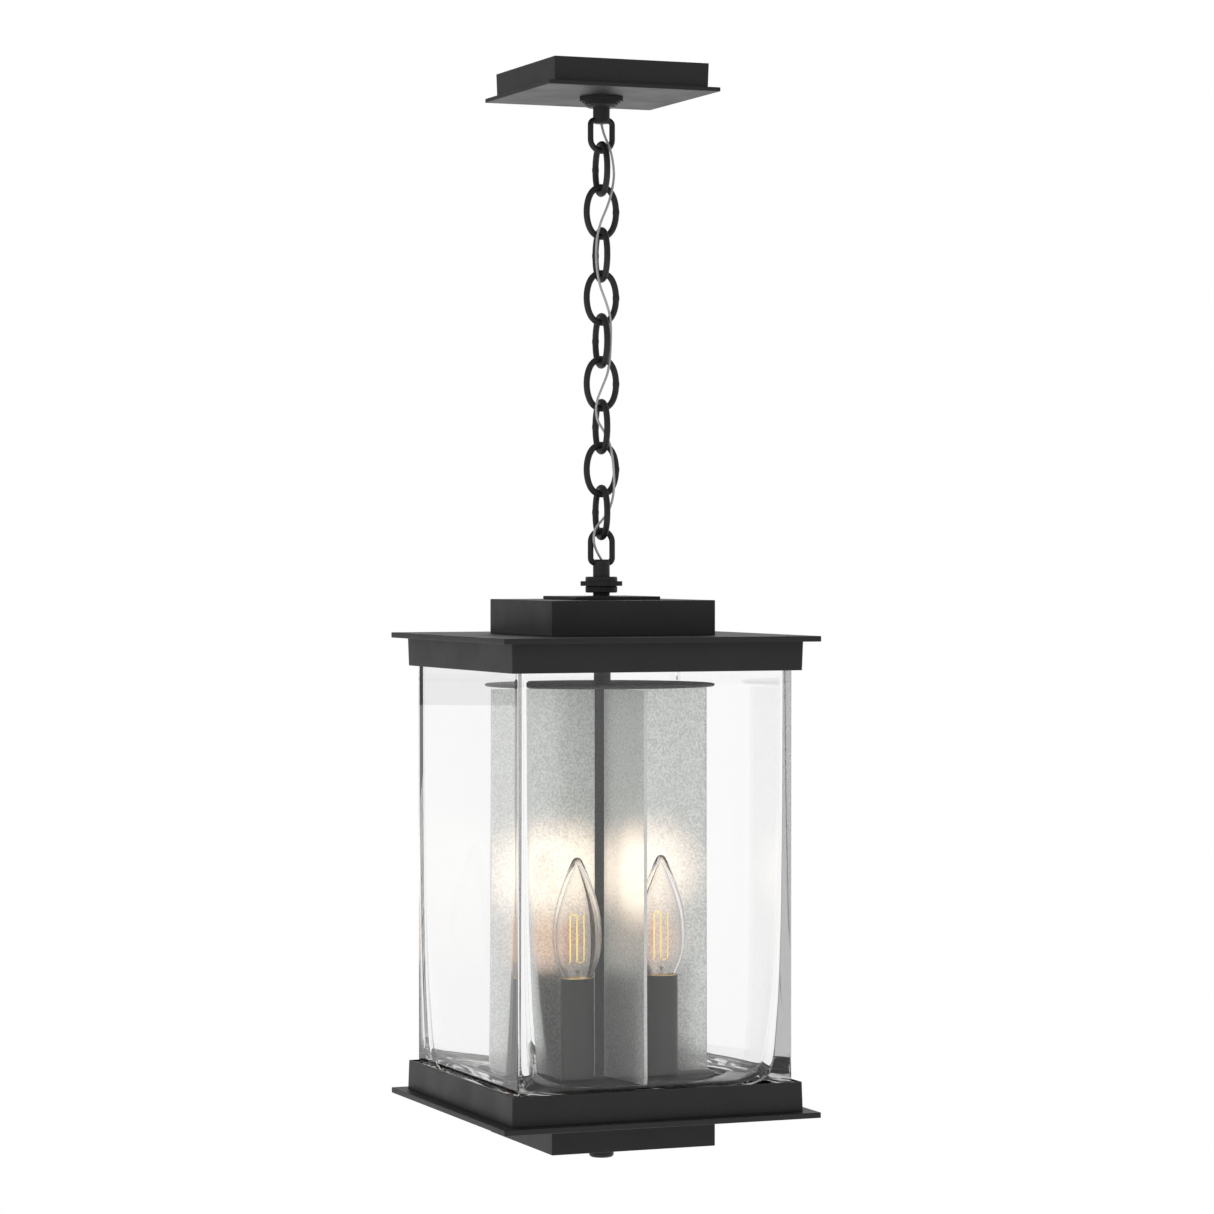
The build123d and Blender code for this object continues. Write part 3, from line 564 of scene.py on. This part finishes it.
# ---------------------------- stage
class LANTERN_OT_stage(bpy.types.Operator):
    """Sets the camera, the pale floor, the white surroundings and the soft lamps"""
    bl_idname = "lantern.stage"
    bl_label = "Stage"

    def execute(self, context):
        stage = context.scene.lantern_stage
        deselect()
        bpy.ops.object.camera_add(location=stage.camera_place)
        camera = context.object
        camera.name = "lantern_camera"
        camera.rotation_euler = (math.pi / 2 + stage.camera_tilt, 0, -stage.camera_turn)
        camera.data.sensor_width = 36.0
        camera.data.lens = stage.camera_lens
        camera.data.clip_end = 100.0
        context.scene.camera = camera
        deselect()
        bpy.ops.mesh.primitive_plane_add(size=80, location=(0, 0, stage.floor_height))
        floor = context.object
        floor.name = "pale_floor"
        self.floor_finish()
        floor.data.materials.append(bpy.data.materials["pale_floor"])
        self.surroundings(context.scene, stage)
        target = Vector((0, 0, -0.5))
        for name, place, power in (("window_light", (-2.6, -1.2, 0.4), 6.2), ("under_light", (-0.4, -0.8, -2.2), 1.4)):
            deselect()
            bpy.ops.object.light_add(type="AREA", location=place)
            lamp = context.object
            lamp.name = name
            lamp.data.size = 2.0
            lamp.data.energy = power
            lamp.rotation_euler = (target - Vector(place)).to_track_quat("-Z", "Y").to_euler()
        context.scene.view_settings.view_transform = "Standard"
        # light runs many times from side to side inside the thick glass before it comes out
        for kind in ("max_bounces", "glossy_bounces", "transmission_bounces"):
            setattr(context.scene.cycles, kind, 32)
        return {"FINISHED"}

    def floor_finish(self):
        """Near the object the floor keeps its shadow, and farther out it runs into the white surroundings."""
        tree, shader, out = new_material("pale_floor")
        fill(tree, shader, Base_Color=(0.86, 0.86, 0.86, 1), Roughness=0.9)
        path, glow = add_node(tree, "LightPath").outputs, add_node(tree, "Emission").outputs[0]
        seen = highest(tree, [path[f"Is {ray} Ray"] for ray in ("Camera", "Glossy", "Transmission")])
        fade = ramp(tree, length_of(tree, object_coordinates(tree)), 1.0, 5.0, (0.8, 1.0))
        share = add_node(tree, "Math", seen, fade, operation="MULTIPLY").outputs[0]
        fill(tree, out, Surface=add_node(tree, "MixShader", share, shader.outputs[0], glow).outputs[0])

    def surroundings(self, scene, stage):
        """White where seen, an even light on the object, and in reflections a studio brighter at its back and top."""
        world = bpy.data.worlds.new("white_surroundings")
        scene.world = world
        world.use_nodes = True
        tree = world.node_tree
        tree.nodes.clear()
        white = (1, 1, 1, 1)
        path = add_node(tree, "LightPath").outputs
        direction = add_node(tree, "TexCoord").outputs["Generated"]
        towards_back, height = (
            add_node(tree, "VectorMath", direction, axis, operation="DOT_PRODUCT").outputs["Value"]
            for axis in ((0.6, 0.8, 0.0), (0.0, 0.0, 1.0)))
        back = ramp(tree, height, -0.05, 0.14, (stage.low_reflection, stage.high_reflection), "LINEAR")
        reflection = add_node(tree, "Mix", Factor=ramp(tree, towards_back, 0.46, 0.98, shape="LINEAR"),
                              A=stage.front_reflection, B=back).outputs["Result"]
        light = add_node(tree, "Background", Color=white, Strength=stage.world_light).outputs[0]
        mirrored = add_node(tree, "Background", Strength=reflection).outputs[0]
        gloss = add_node(tree, "MixShader", path["Is Glossy Ray"], light, mirrored).outputs[0]
        seen = highest(tree, [path["Is Camera Ray"], path["Is Transmission Ray"]])
        whole = add_node(tree, "MixShader", seen, gloss, add_node(tree, "Background", Color=white).outputs[0])
        add_node(tree, "OutputWorld", Surface=whole.outputs[0])


# ---------------------------- supply cord
CORD_ROUTE = (
    (0.0, 0.0, -0.0398), (0.0008, -0.0020, -0.0475), (0.0049, -0.0047, -0.0575), (0.0076, -0.0045, -0.0690),
    (0.0084, -0.0042, -0.0800), (0.0038, -0.0062, -0.0970), (-0.0052, -0.0062, -0.1160), (-0.0064, -0.0046, -0.1360),
    (-0.0046, -0.0060, -0.1550), (0.0010, -0.0066, -0.1690), (0.0054, -0.0048, -0.1800), (0.0059, -0.0040, -0.1970),
    (0.0036, -0.0062, -0.2180), (-0.0016, -0.0066, -0.2300), (-0.0064, -0.0052, -0.2420), (-0.0056, -0.0044, -0.2540),
    (0.0006, -0.0036, -0.2625), (0.0050, -0.0052, -0.2720), (0.0074, -0.0056, -0.2880), (0.0082, -0.0048, -0.3060),
    (0.0056, -0.0038, -0.3180), (0.0002, -0.0044, -0.3256), (-0.0079, -0.0056, -0.3336), (-0.0078, -0.0042, -0.3436),
    (-0.0036, -0.0016, -0.3512), (0.0, 0.0, -0.3554),
)


def route_points(route, resolution):
    """Points along a smooth NURBS line through the room between the route's control points."""
    curve = bpy.data.curves.new("cord_route", "CURVE")
    curve.dimensions = "3D"
    spline = curve.splines.new("NURBS")
    spline.points.add(len(route) - 1)
    for point, place in zip(spline.points, route):
        point.co = (*place, 1)
    spline.order_u = 3
    spline.use_endpoint_u = True
    spline.resolution_u = resolution
    line = into_scene("cord_route", curve)
    bpy.context.view_layer.update()
    mesh = bpy.data.meshes.new_from_object(line.evaluated_get(bpy.context.evaluated_depsgraph_get()))
    points = [vertex.co.copy() for vertex in mesh.vertices]
    bpy.data.objects.remove(line)
    return points


def wire_along(name, points, radius, sides=4):
    """Round wire mesh along points."""
    curve = bpy.data.curves.new(name, "CURVE")
    curve.dimensions = "3D"
    curve.bevel_depth = radius
    curve.bevel_resolution = sides
    curve.use_fill_caps = True
    spline = curve.splines.new("POLY")
    spline.points.add(len(points) - 1)
    for point, place in zip(spline.points, points):
        point.co = (*place, 1)
    pick(into_scene(name, curve))
    bpy.ops.object.convert(target="MESH")
    return bpy.context.object


class LANTERN_OT_supply_cord(bpy.types.Operator):
    """Lays the supply cord through the chain, one span at each pivot"""
    bl_idname = "lantern.supply_cord"
    bl_label = "Supply cord"

    def execute(self, context):
        diameter = context.scene.lantern_sizes.cord_diameter
        points = route_points(CORD_ROUTE, 16)
        pivots = [JOINT[f"link_{n}_swing"]["pos_m"][2] for n in range(1, 10)] + [JOINT["lantern_swing"]["pos_m"][2]]
        cuts = [(a + b) / 2 for a, b in zip(pivots, pivots[1:])]
        nearest = [min(range(len(points)), key=lambda i: abs(points[i].z - cut)) for cut in cuts]
        marks = [0, *nearest, len(points) - 1]
        for n, (first, last) in enumerate(zip(marks, marks[1:])):
            line = points[first:last + 1]
            span = wire_along(f"supply_cord_{n + 1}", line, diameter / 2)
            smooth(span, 60)
            span.data.materials.append(bpy.data.materials["silver_sheath"])
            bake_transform(span)
            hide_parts("supply_cord")
        return {"FINISHED"}


# ---------------------------- painted sheet metal
class LANTERN_OT_sheet_metal(bpy.types.Operator):
    """Gives the plates, boxes and bands their slightly rounded edges"""
    bl_idname = "lantern.sheet_metal"
    bl_label = "Sheet metal"

    def execute(self, context):
        width = context.scene.lantern_sizes.edge_round
        for node in ("canopy_pan", "canopy_plate", "roof_cap", "roof_box", "roof_plate", "roof_fascia", "base_tray",
                     "base_plate", "base_box"):
            piece = merged_copy(node)
            apply_bevel(piece, width)
            smooth(piece)
            flatten_shading(piece)
            finish_piece(piece, f"{node}_painted", "black_powder_coat", node)
            if node == "base_tray":
                self.paint_inside(piece)
        return {"FINISHED"}

    def paint_inside(self, tray):
        """The flatter paint of the pieces inside the glass, on the tray's floor and inner walls."""
        tray.data.materials.append(bpy.data.materials["inner_powder_coat"])
        below_rim = max(vertex.co.z for vertex in tray.data.vertices) - 0.003
        for face in tray.data.polygons:
            inward = face.normal.x * face.center.x + face.normal.y * face.center.y < -0.01
            floor = face.normal.z > 0.5 and face.center.z < below_rim
            face.material_index = 1 if inward or floor else 0


class LANTERN_OT_turned_metal(bpy.types.Operator):
    """Smooths the rings, nut, nipple, rod, disc, cluster, knob and loops, their flat faces kept flat"""
    bl_idname = "lantern.turned_metal"
    bl_label = "Turned metal"

    def execute(self, context):
        for node in ("canopy_collar_ring", "coupling_ring", "lock_nut", "roof_nipple", "centre_rod", "top_disc",
                     "cluster_plate", "finial_knob", "canopy_loop", "fixture_loop"):
            piece = merged_copy(node)
            smooth(piece, 32)
            flatten_shading(piece)
            inside = node in ("centre_rod", "top_disc", "cluster_plate")
            finish_piece(piece, f"{node}_painted", "inner_powder_coat" if inside else "black_powder_coat", node)
        return {"FINISHED"}


# ---------------------------- chain
class LANTERN_OT_chain(bpy.types.Operator):
    """Forms the oval links, each with its weld"""
    bl_idname = "lantern.chain"
    bl_label = "Chain"

    def execute(self, context):
        bulge = context.scene.lantern_sizes.weld_bulge
        low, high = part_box(CHAIN[1])
        wire = high.y - low.y
        half, reach = (high.x - low.x - wire) / 2, (high.z - low.z - wire) / 2
        blank = self.oval(half, reach, wire)
        self.weld(blank, half, wire, bulge)
        smooth(blank, 60)
        for n, node in enumerate(CHAIN):
            low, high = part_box(node)
            link = own_copy(blank)
            if n % 2 == 0:
                link.data.transform(Matrix.Rotation(math.pi / 2, 4, "Z"))
            link.data.transform(Matrix.Translation((0, 0, (low.z + high.z) / 2)))
            finish_piece(link, f"oval_link_{n + 1}", "black_powder_coat", node)
        bpy.data.objects.remove(blank)
        return {"FINISHED"}

    def oval(self, half, reach, wire):
        """A round wire bent to an oval: a circle drawn out to its half width and height."""
        deselect()
        bpy.ops.curve.primitive_bezier_circle_add(radius=1, rotation=(math.pi / 2, 0, 0))
        curve = bpy.context.object
        bpy.ops.object.transform_apply(location=True, rotation=True, scale=True)
        bpy.ops.object.mode_set(mode="EDIT")
        bpy.ops.curve.select_all(action="SELECT")
        bpy.ops.transform.resize(value=(half, 1, reach), center_override=(0, 0, 0))
        bpy.ops.object.mode_set(mode="OBJECT")
        curve.data.resolution_u = 24
        curve.data.bevel_depth = wire / 2
        curve.data.bevel_resolution = 6
        bpy.ops.object.convert(target="MESH")
        return bpy.context.object

    def weld(self, blank, half, wire, bulge):
        """A low bead round the wire, halfway down one side."""
        half_length = 0.0009
        pick(blank)
        pick_faces(blank, lambda face: face.center.x > half - wire and abs(face.center.z) < half_length)
        bpy.ops.transform.shrink_fatten(value=bulge)
        bpy.ops.object.mode_set(mode="OBJECT")


# ---------------------------- glass
class LANTERN_OT_glass_case(bpy.types.Operator):
    """Moulds the glass box: thin rim, walls and corners that thicken into the foot, round hole in the floor"""
    bl_idname = "lantern.glass_case"
    bl_label = "Glass case"

    def execute(self, context):
        sizes = context.scene.lantern_sizes
        low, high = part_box("glass_box")
        side, bottom, top = high.x - low.x, low.z + 0.0002, high.z
        corner, wall, floor, hole = 0.0014, 0.0045, 0.012, 0.0895
        foot, rim = sizes.glass_foot_round, sizes.glass_rim_round
        inside, floor_top = side - 2 * wall, low.z + floor
        rings = [even_circle(hole + 0.001, bottom)]
        for i in range(6):
            angle = math.radians(90 * i / 5)
            drawn_in, height = foot * (1 - math.sin(angle)), bottom + foot * (1 - math.cos(angle))
            rings.append(rounded_square(side - 2 * drawn_in, corner, height))
        rings.append(rounded_square(side, corner, top - rim))
        rings.append(rounded_square(side - 2 * rim, corner - rim / 2, top))
        rings.append(rounded_square(inside + 2 * rim, 0.0048, top))
        # inner skin from the rim down: height over the floor, how far the wall has come in, corner radius
        for height, inset, radius in (
                (top - rim - floor_top, 0.0, 0.005), (0.200, 0.0001, 0.0060), (0.120, 0.0002, 0.0090),
                (0.084, 0.0004, 0.0120), (0.062, 0.0006, 0.0145), (0.048, 0.0009, 0.0170), (0.036, 0.0013, 0.0190),
                (0.026, 0.0017, 0.0205), (0.018, 0.0022, 0.0225), (0.012, 0.0031, 0.0255), (0.008, 0.0044, 0.0280),
                (0.005, 0.0062, 0.0305), (0.0026, 0.0088, 0.0330), (0.0010, 0.0122, 0.0360), (0.0002, 0.0150, 0.0390)):
            rings.append(rounded_square(inside - 2 * inset, radius, floor_top + height))
        # rounded edge of the hole: how much wider it is, height
        for wider, height in ((0.0012, floor_top), (0.0003, floor_top - 0.0004), (0.0, floor_top - 0.0014),
                              (0.0, bottom + 0.001)):
            rings.append(even_circle(hole + wider, height))
        case = stacked_rings("glass_case", rings)
        smooth(case, 40)
        finish_piece(case, "glass_case", "case_glass", "glass_box")
        return {"FINISHED"}


class LANTERN_OT_foot_seal(bpy.types.Operator):
    """Runs a bead of clear sealant between the glass foot and the tray, a little under the tray's rim"""
    bl_idname = "lantern.foot_seal"
    bl_label = "Foot seal"

    def execute(self, context):
        glass_low, glass_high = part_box("glass_box")
        tray_low, tray_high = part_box("base_tray")
        inner = (glass_high.x - glass_low.x) / 2 + 0.0001
        outer = (tray_high.x - tray_low.x) / 2 - 0.0024
        top, bottom, corner = tray_high.z - 0.0016, tray_high.z - 0.0060, 0.0014
        section = ((2 * inner, bottom), (2 * outer, bottom), (2 * outer, top + 0.0006), (inner + outer, top - 0.0004),
                   (2 * inner, top + 0.0004))
        seal = stacked_rings("foot_seal", [rounded_square(side, corner, height) for side, height in section])
        smooth(seal, 40)
        finish_extra(seal, "foot_seal", "clear_sealant", "base_tray")
        return {"FINISHED"}


class LANTERN_OT_frosted_sheets(bpy.types.Operator):
    """Cuts the four frosted sheets, their edges ground"""
    bl_idname = "lantern.frosted_sheets"
    bl_label = "Frosted sheets"

    def execute(self, context):
        for n in range(1, 5):
            low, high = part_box(f"diffuser_panel_{n}")
            deselect()
            bpy.ops.mesh.primitive_cube_add(size=1, location=(low + high) / 2, scale=high - low)
            sheet = context.object
            place_in_mesh(sheet)
            apply_bevel(sheet, 0.0003)
            smooth(sheet)
            flatten_shading(sheet)
            finish_piece(sheet, f"frosted_sheet_{n}", "blasted_glass", f"diffuser_panel_{n}")
            # the edge faces get the ground edge finish with its painted glint
            sheet.data.materials.append(bpy.data.materials["ground_edge"])
            thin = 1 if high.x - low.x > high.y - low.y else 0
            for face in sheet.data.polygons:
                face.material_index = 0 if abs(face.normal[thin]) > 0.9 else 1
        return {"FINISHED"}


# ---------------------------- candles and lamps
class LANTERN_OT_candle_covers(bpy.types.Operator):
    """Turns the candle covers, open at the top with a softly rounded rim"""
    bl_idname = "lantern.candle_covers"
    bl_label = "Candle covers"

    def execute(self, context):
        sizes = context.scene.lantern_sizes
        low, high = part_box("candle_sleeve_1")
        radius, wall, rim = (high.x - low.x) / 2, 0.0009, sizes.cover_rim
        profile = [(radius - wall, low.z), (radius, low.z), (radius, high.z - rim),
                   (radius - rim * 0.3, high.z - rim * 0.3), (radius - rim, high.z),
                   (radius - wall + rim * 0.2, high.z - rim * 0.2), (radius - wall, high.z - rim),
                   (radius - wall, low.z)]
        cover = spun("cover_blank", profile, sizes.turning_steps)
        smooth(cover)
        inner, outer, lip = radius - wall - 0.0007, radius - wall - 0.0001, high.z + 0.0004
        foot, shoulder, chamfer = lip - 0.0060, lip - 0.0003, 0.0001
        collar = spun("collar_blank", [(inner, foot), (outer, foot), (outer, shoulder), (outer - chamfer, lip),
                                       (inner + chamfer, lip), (inner, shoulder), (inner, foot)], sizes.turning_steps)
        smooth(collar)
        for n, (x, y) in enumerate(lamp_axes(), start=1):
            finish_piece(own_copy(cover, (x, y, 0)), f"candle_cover_{n}", "candle_cover_paint", f"candle_sleeve_{n}")
            lining = own_copy(collar, (x, y, 0))
            finish_extra(lining, f"brass_collar_{n}", "lamp_brass", f"candle_sleeve_{n}")
        bpy.data.objects.remove(cover)
        bpy.data.objects.remove(collar)
        return {"FINISHED"}


def bulb_curve(rim_height, tip_height, foot_height, neck, skin):
    """(radius, height) points up the side of a candle lamp, thinner by skin, by half of it in the neck."""
    length = tip_height - rim_height - 2.5 * skin
    # share of the height over the cover's rim, radius
    shape = ((-0.10, neck), (-0.055, neck + 0.0012), (0.0, 0.0102), (0.06, 0.0128), (0.13, 0.0151), (0.21, 0.0168),
             (0.30, 0.0175), (0.39, 0.0175), (0.48, 0.0170), (0.57, 0.0158), (0.66, 0.0138), (0.75, 0.0113),
             (0.83, 0.0087), (0.90, 0.0063), (0.95, 0.0045), (0.98, 0.0031), (0.995, 0.0016))
    side = [(max(radius - (skin if share >= 0 else skin / 2), 0.0002), rim_height + share * length)
            for share, radius in shape]
    floor = foot_height + skin / 2
    return [(0.0, floor), (neck - skin / 2, floor)] + side + [(0.0, rim_height + length)]


class LANTERN_OT_lamps(bpy.types.Operator):
    """Blows the candle lamps and turns their screw bases"""
    bl_idname = "lantern.lamps"
    bl_label = "Lamps"

    def execute(self, context):
        sizes = context.scene.lantern_sizes
        low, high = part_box("bulb_glass_1")
        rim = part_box("candle_sleeve_1")[1].z
        neck, wall = 0.0054, 0.0020
        glass = spun("lamp_blank", bulb_curve(rim, high.z, low.z, neck, 0.0), sizes.turning_steps)
        hollow = spun("hollow_blank", bulb_curve(rim, high.z, low.z, neck, wall), sizes.turning_steps)
        edit_all(hollow)
        bpy.ops.mesh.flip_normals()
        bpy.ops.object.mode_set(mode="OBJECT")
        pick(glass)
        hollow.select_set(True)
        bpy.ops.object.join()
        smooth(glass, 60)
        base = spun("base_blank", self.screw_profile(*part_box("bulb_base_1")), sizes.turning_steps)
        smooth(base, 40)
        for n, (x, y) in enumerate(lamp_axes(), start=1):
            finish_piece(own_copy(glass, (x, y, 0)), f"candle_lamp_{n}", "lamp_glass", f"bulb_glass_{n}")
            finish_piece(own_copy(base, (x, y, 0)), f"screw_base_{n}", "lamp_brass", f"bulb_base_{n}")
        bpy.data.objects.remove(glass)
        bpy.data.objects.remove(base)
        return {"FINISHED"}

    def screw_profile(self, low, high):
        """A contact button, seven turns of rounded thread and a thin lip."""
        radius, foot, lip = (high.x - low.x) / 2, low.z, high.z
        turns, pitch, depth = 7, 0.0019, 0.0006
        profile = [(0.0, foot), (0.0024, foot), (0.0028, foot + 0.0006), (0.0050, foot + 0.0015)]
        for i in range(turns):
            z = foot + 0.0025 + i * pitch
            profile += [(radius - depth, z), (radius, z + 0.3 * pitch), (radius, z + 0.5 * pitch),
                        (radius - depth, z + 0.8 * pitch)]
        return profile + [(radius - 0.0003, lip - 0.003), (radius - 0.0002, lip), (radius - 0.0006, lip),
                          (radius - 0.0006, lip - 0.0015), (0.0, lip - 0.0015)]


class LANTERN_OT_filaments(bpy.types.Operator):
    """Strings the filament up and down its cage and sets it on a glass mount"""
    bl_idname = "lantern.filaments"
    bl_label = "Filaments"

    def execute(self, context):
        sizes = context.scene.lantern_sizes
        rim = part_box("candle_sleeve_1")[1].z
        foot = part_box("bulb_glass_1")[0].z
        low, high, radius, count = rim + 0.0125, rim + 0.0445, 0.0056, 6
        heading = 1.083      # of the first upright, in steps from one upright to the next
        wire = []
        for i in range(count):
            angle = math.tau * (i + heading) / count
            x, y = radius * math.cos(angle), radius * math.sin(angle)
            ends = (low, high) if i % 2 == 0 else (high, low)
            wire += [(x, y, ends[0]), (x * 1.04, y * 1.04, (low + high) / 2), (x, y, ends[1])]
            if i < count - 1:
                turn, reach = math.tau * (i + heading + 0.5) / count, radius * 0.97
                lift = 0.0011 if i % 2 == 0 else -0.0011
                wire.append((reach * math.cos(turn), reach * math.sin(turn), ends[1] + lift))
        cage = wire_along("filament_blank", wire, sizes.filament_wire / 2, sides=2)
        smooth(cage, 60)
        mount = spun("mount_blank", [(0.0, foot + 0.0012), (0.0042, foot + 0.0012), (0.0036, foot + 0.006),
                                     (0.0018, rim - 0.001), (0.0014, rim + 0.004), (0.0017, rim + 0.0055),
                                     (0.0, rim + 0.006)], 24)
        smooth(mount, 60)
        lead_radius, support_radius = 0.00018, 0.00016
        leads = []
        for x, y, z in (wire[0], wire[-1]):
            route = [(x * 0.18, y * 0.18, rim + 0.003), (x * 0.4, y * 0.4, rim + 0.0062), (x, y, z)]
            leads.append(wire_along("lead", route, lead_radius, sides=1))
        support = wire_along("lead", [(0, 0, rim + 0.0055), (0, 0, high + 0.001)], support_radius, sides=1)
        for n, (x, y) in enumerate(lamp_axes(), start=1):
            node = f"bulb_filament_{n}"
            finish_piece(own_copy(cage, (x, y, 0)), f"filament_{n}", "lit_filament", node)
            finish_extra(own_copy(mount, (x, y, 0)), f"glass_mount_{n}", "lamp_glass", node)
            pick(own_copy(leads[0], (x, y, 0)))
            posts = bpy.context.object
            for other in (own_copy(leads[1], (x, y, 0)), own_copy(support, (x, y, 0))):
                other.select_set(True)
            bpy.ops.object.join()
            finish_extra(posts, f"lead_wires_{n}", "zinc_plate", node)
        for blank in (cage, mount, support, *leads):
            bpy.data.objects.remove(blank)
        return {"FINISHED"}


# ---------------------------- panel and running order
STEPS = (
    LANTERN_OT_finishes, LANTERN_OT_stage, LANTERN_OT_supply_cord, LANTERN_OT_sheet_metal, LANTERN_OT_turned_metal,
    LANTERN_OT_chain, LANTERN_OT_glass_case, LANTERN_OT_foot_seal, LANTERN_OT_frosted_sheets, LANTERN_OT_candle_covers,
    LANTERN_OT_lamps, LANTERN_OT_filaments,
)


class LANTERN_PT_build(bpy.types.Panel):
    """The lantern's pieces, in the order in which they are made"""
    bl_label = "Hanging lantern"
    bl_idname = "LANTERN_PT_build"
    bl_space_type = "VIEW_3D"
    bl_region_type = "UI"
    bl_category = "Lantern"

    def draw(self, context):
        for group in (context.scene.lantern_sizes, context.scene.lantern_colours, context.scene.lantern_stage):
            column = self.layout.column(align=True)
            for name in group.__annotations__:
                column.prop(group, name)
        for step in STEPS:
            self.layout.operator(step.bl_idname)


CLASSES = (LanternSizes, LanternColours, StageSettings, *STEPS, LANTERN_PT_build)


def register():
    for cls in CLASSES:
        bpy.utils.register_class(cls)
    bpy.types.Scene.lantern_sizes = PointerProperty(type=LanternSizes)
    bpy.types.Scene.lantern_colours = PointerProperty(type=LanternColours)
    bpy.types.Scene.lantern_stage = PointerProperty(type=StageSettings)


def unregister():
    del bpy.types.Scene.lantern_sizes, bpy.types.Scene.lantern_colours, bpy.types.Scene.lantern_stage
    for cls in reversed(CLASSES):
        bpy.utils.unregister_class(cls)


def main():
    register()
    for step in STEPS:
        group, name = step.bl_idname.split(".")
        getattr(getattr(bpy.ops, group), name)()


if __name__ == "__main__":
    main()
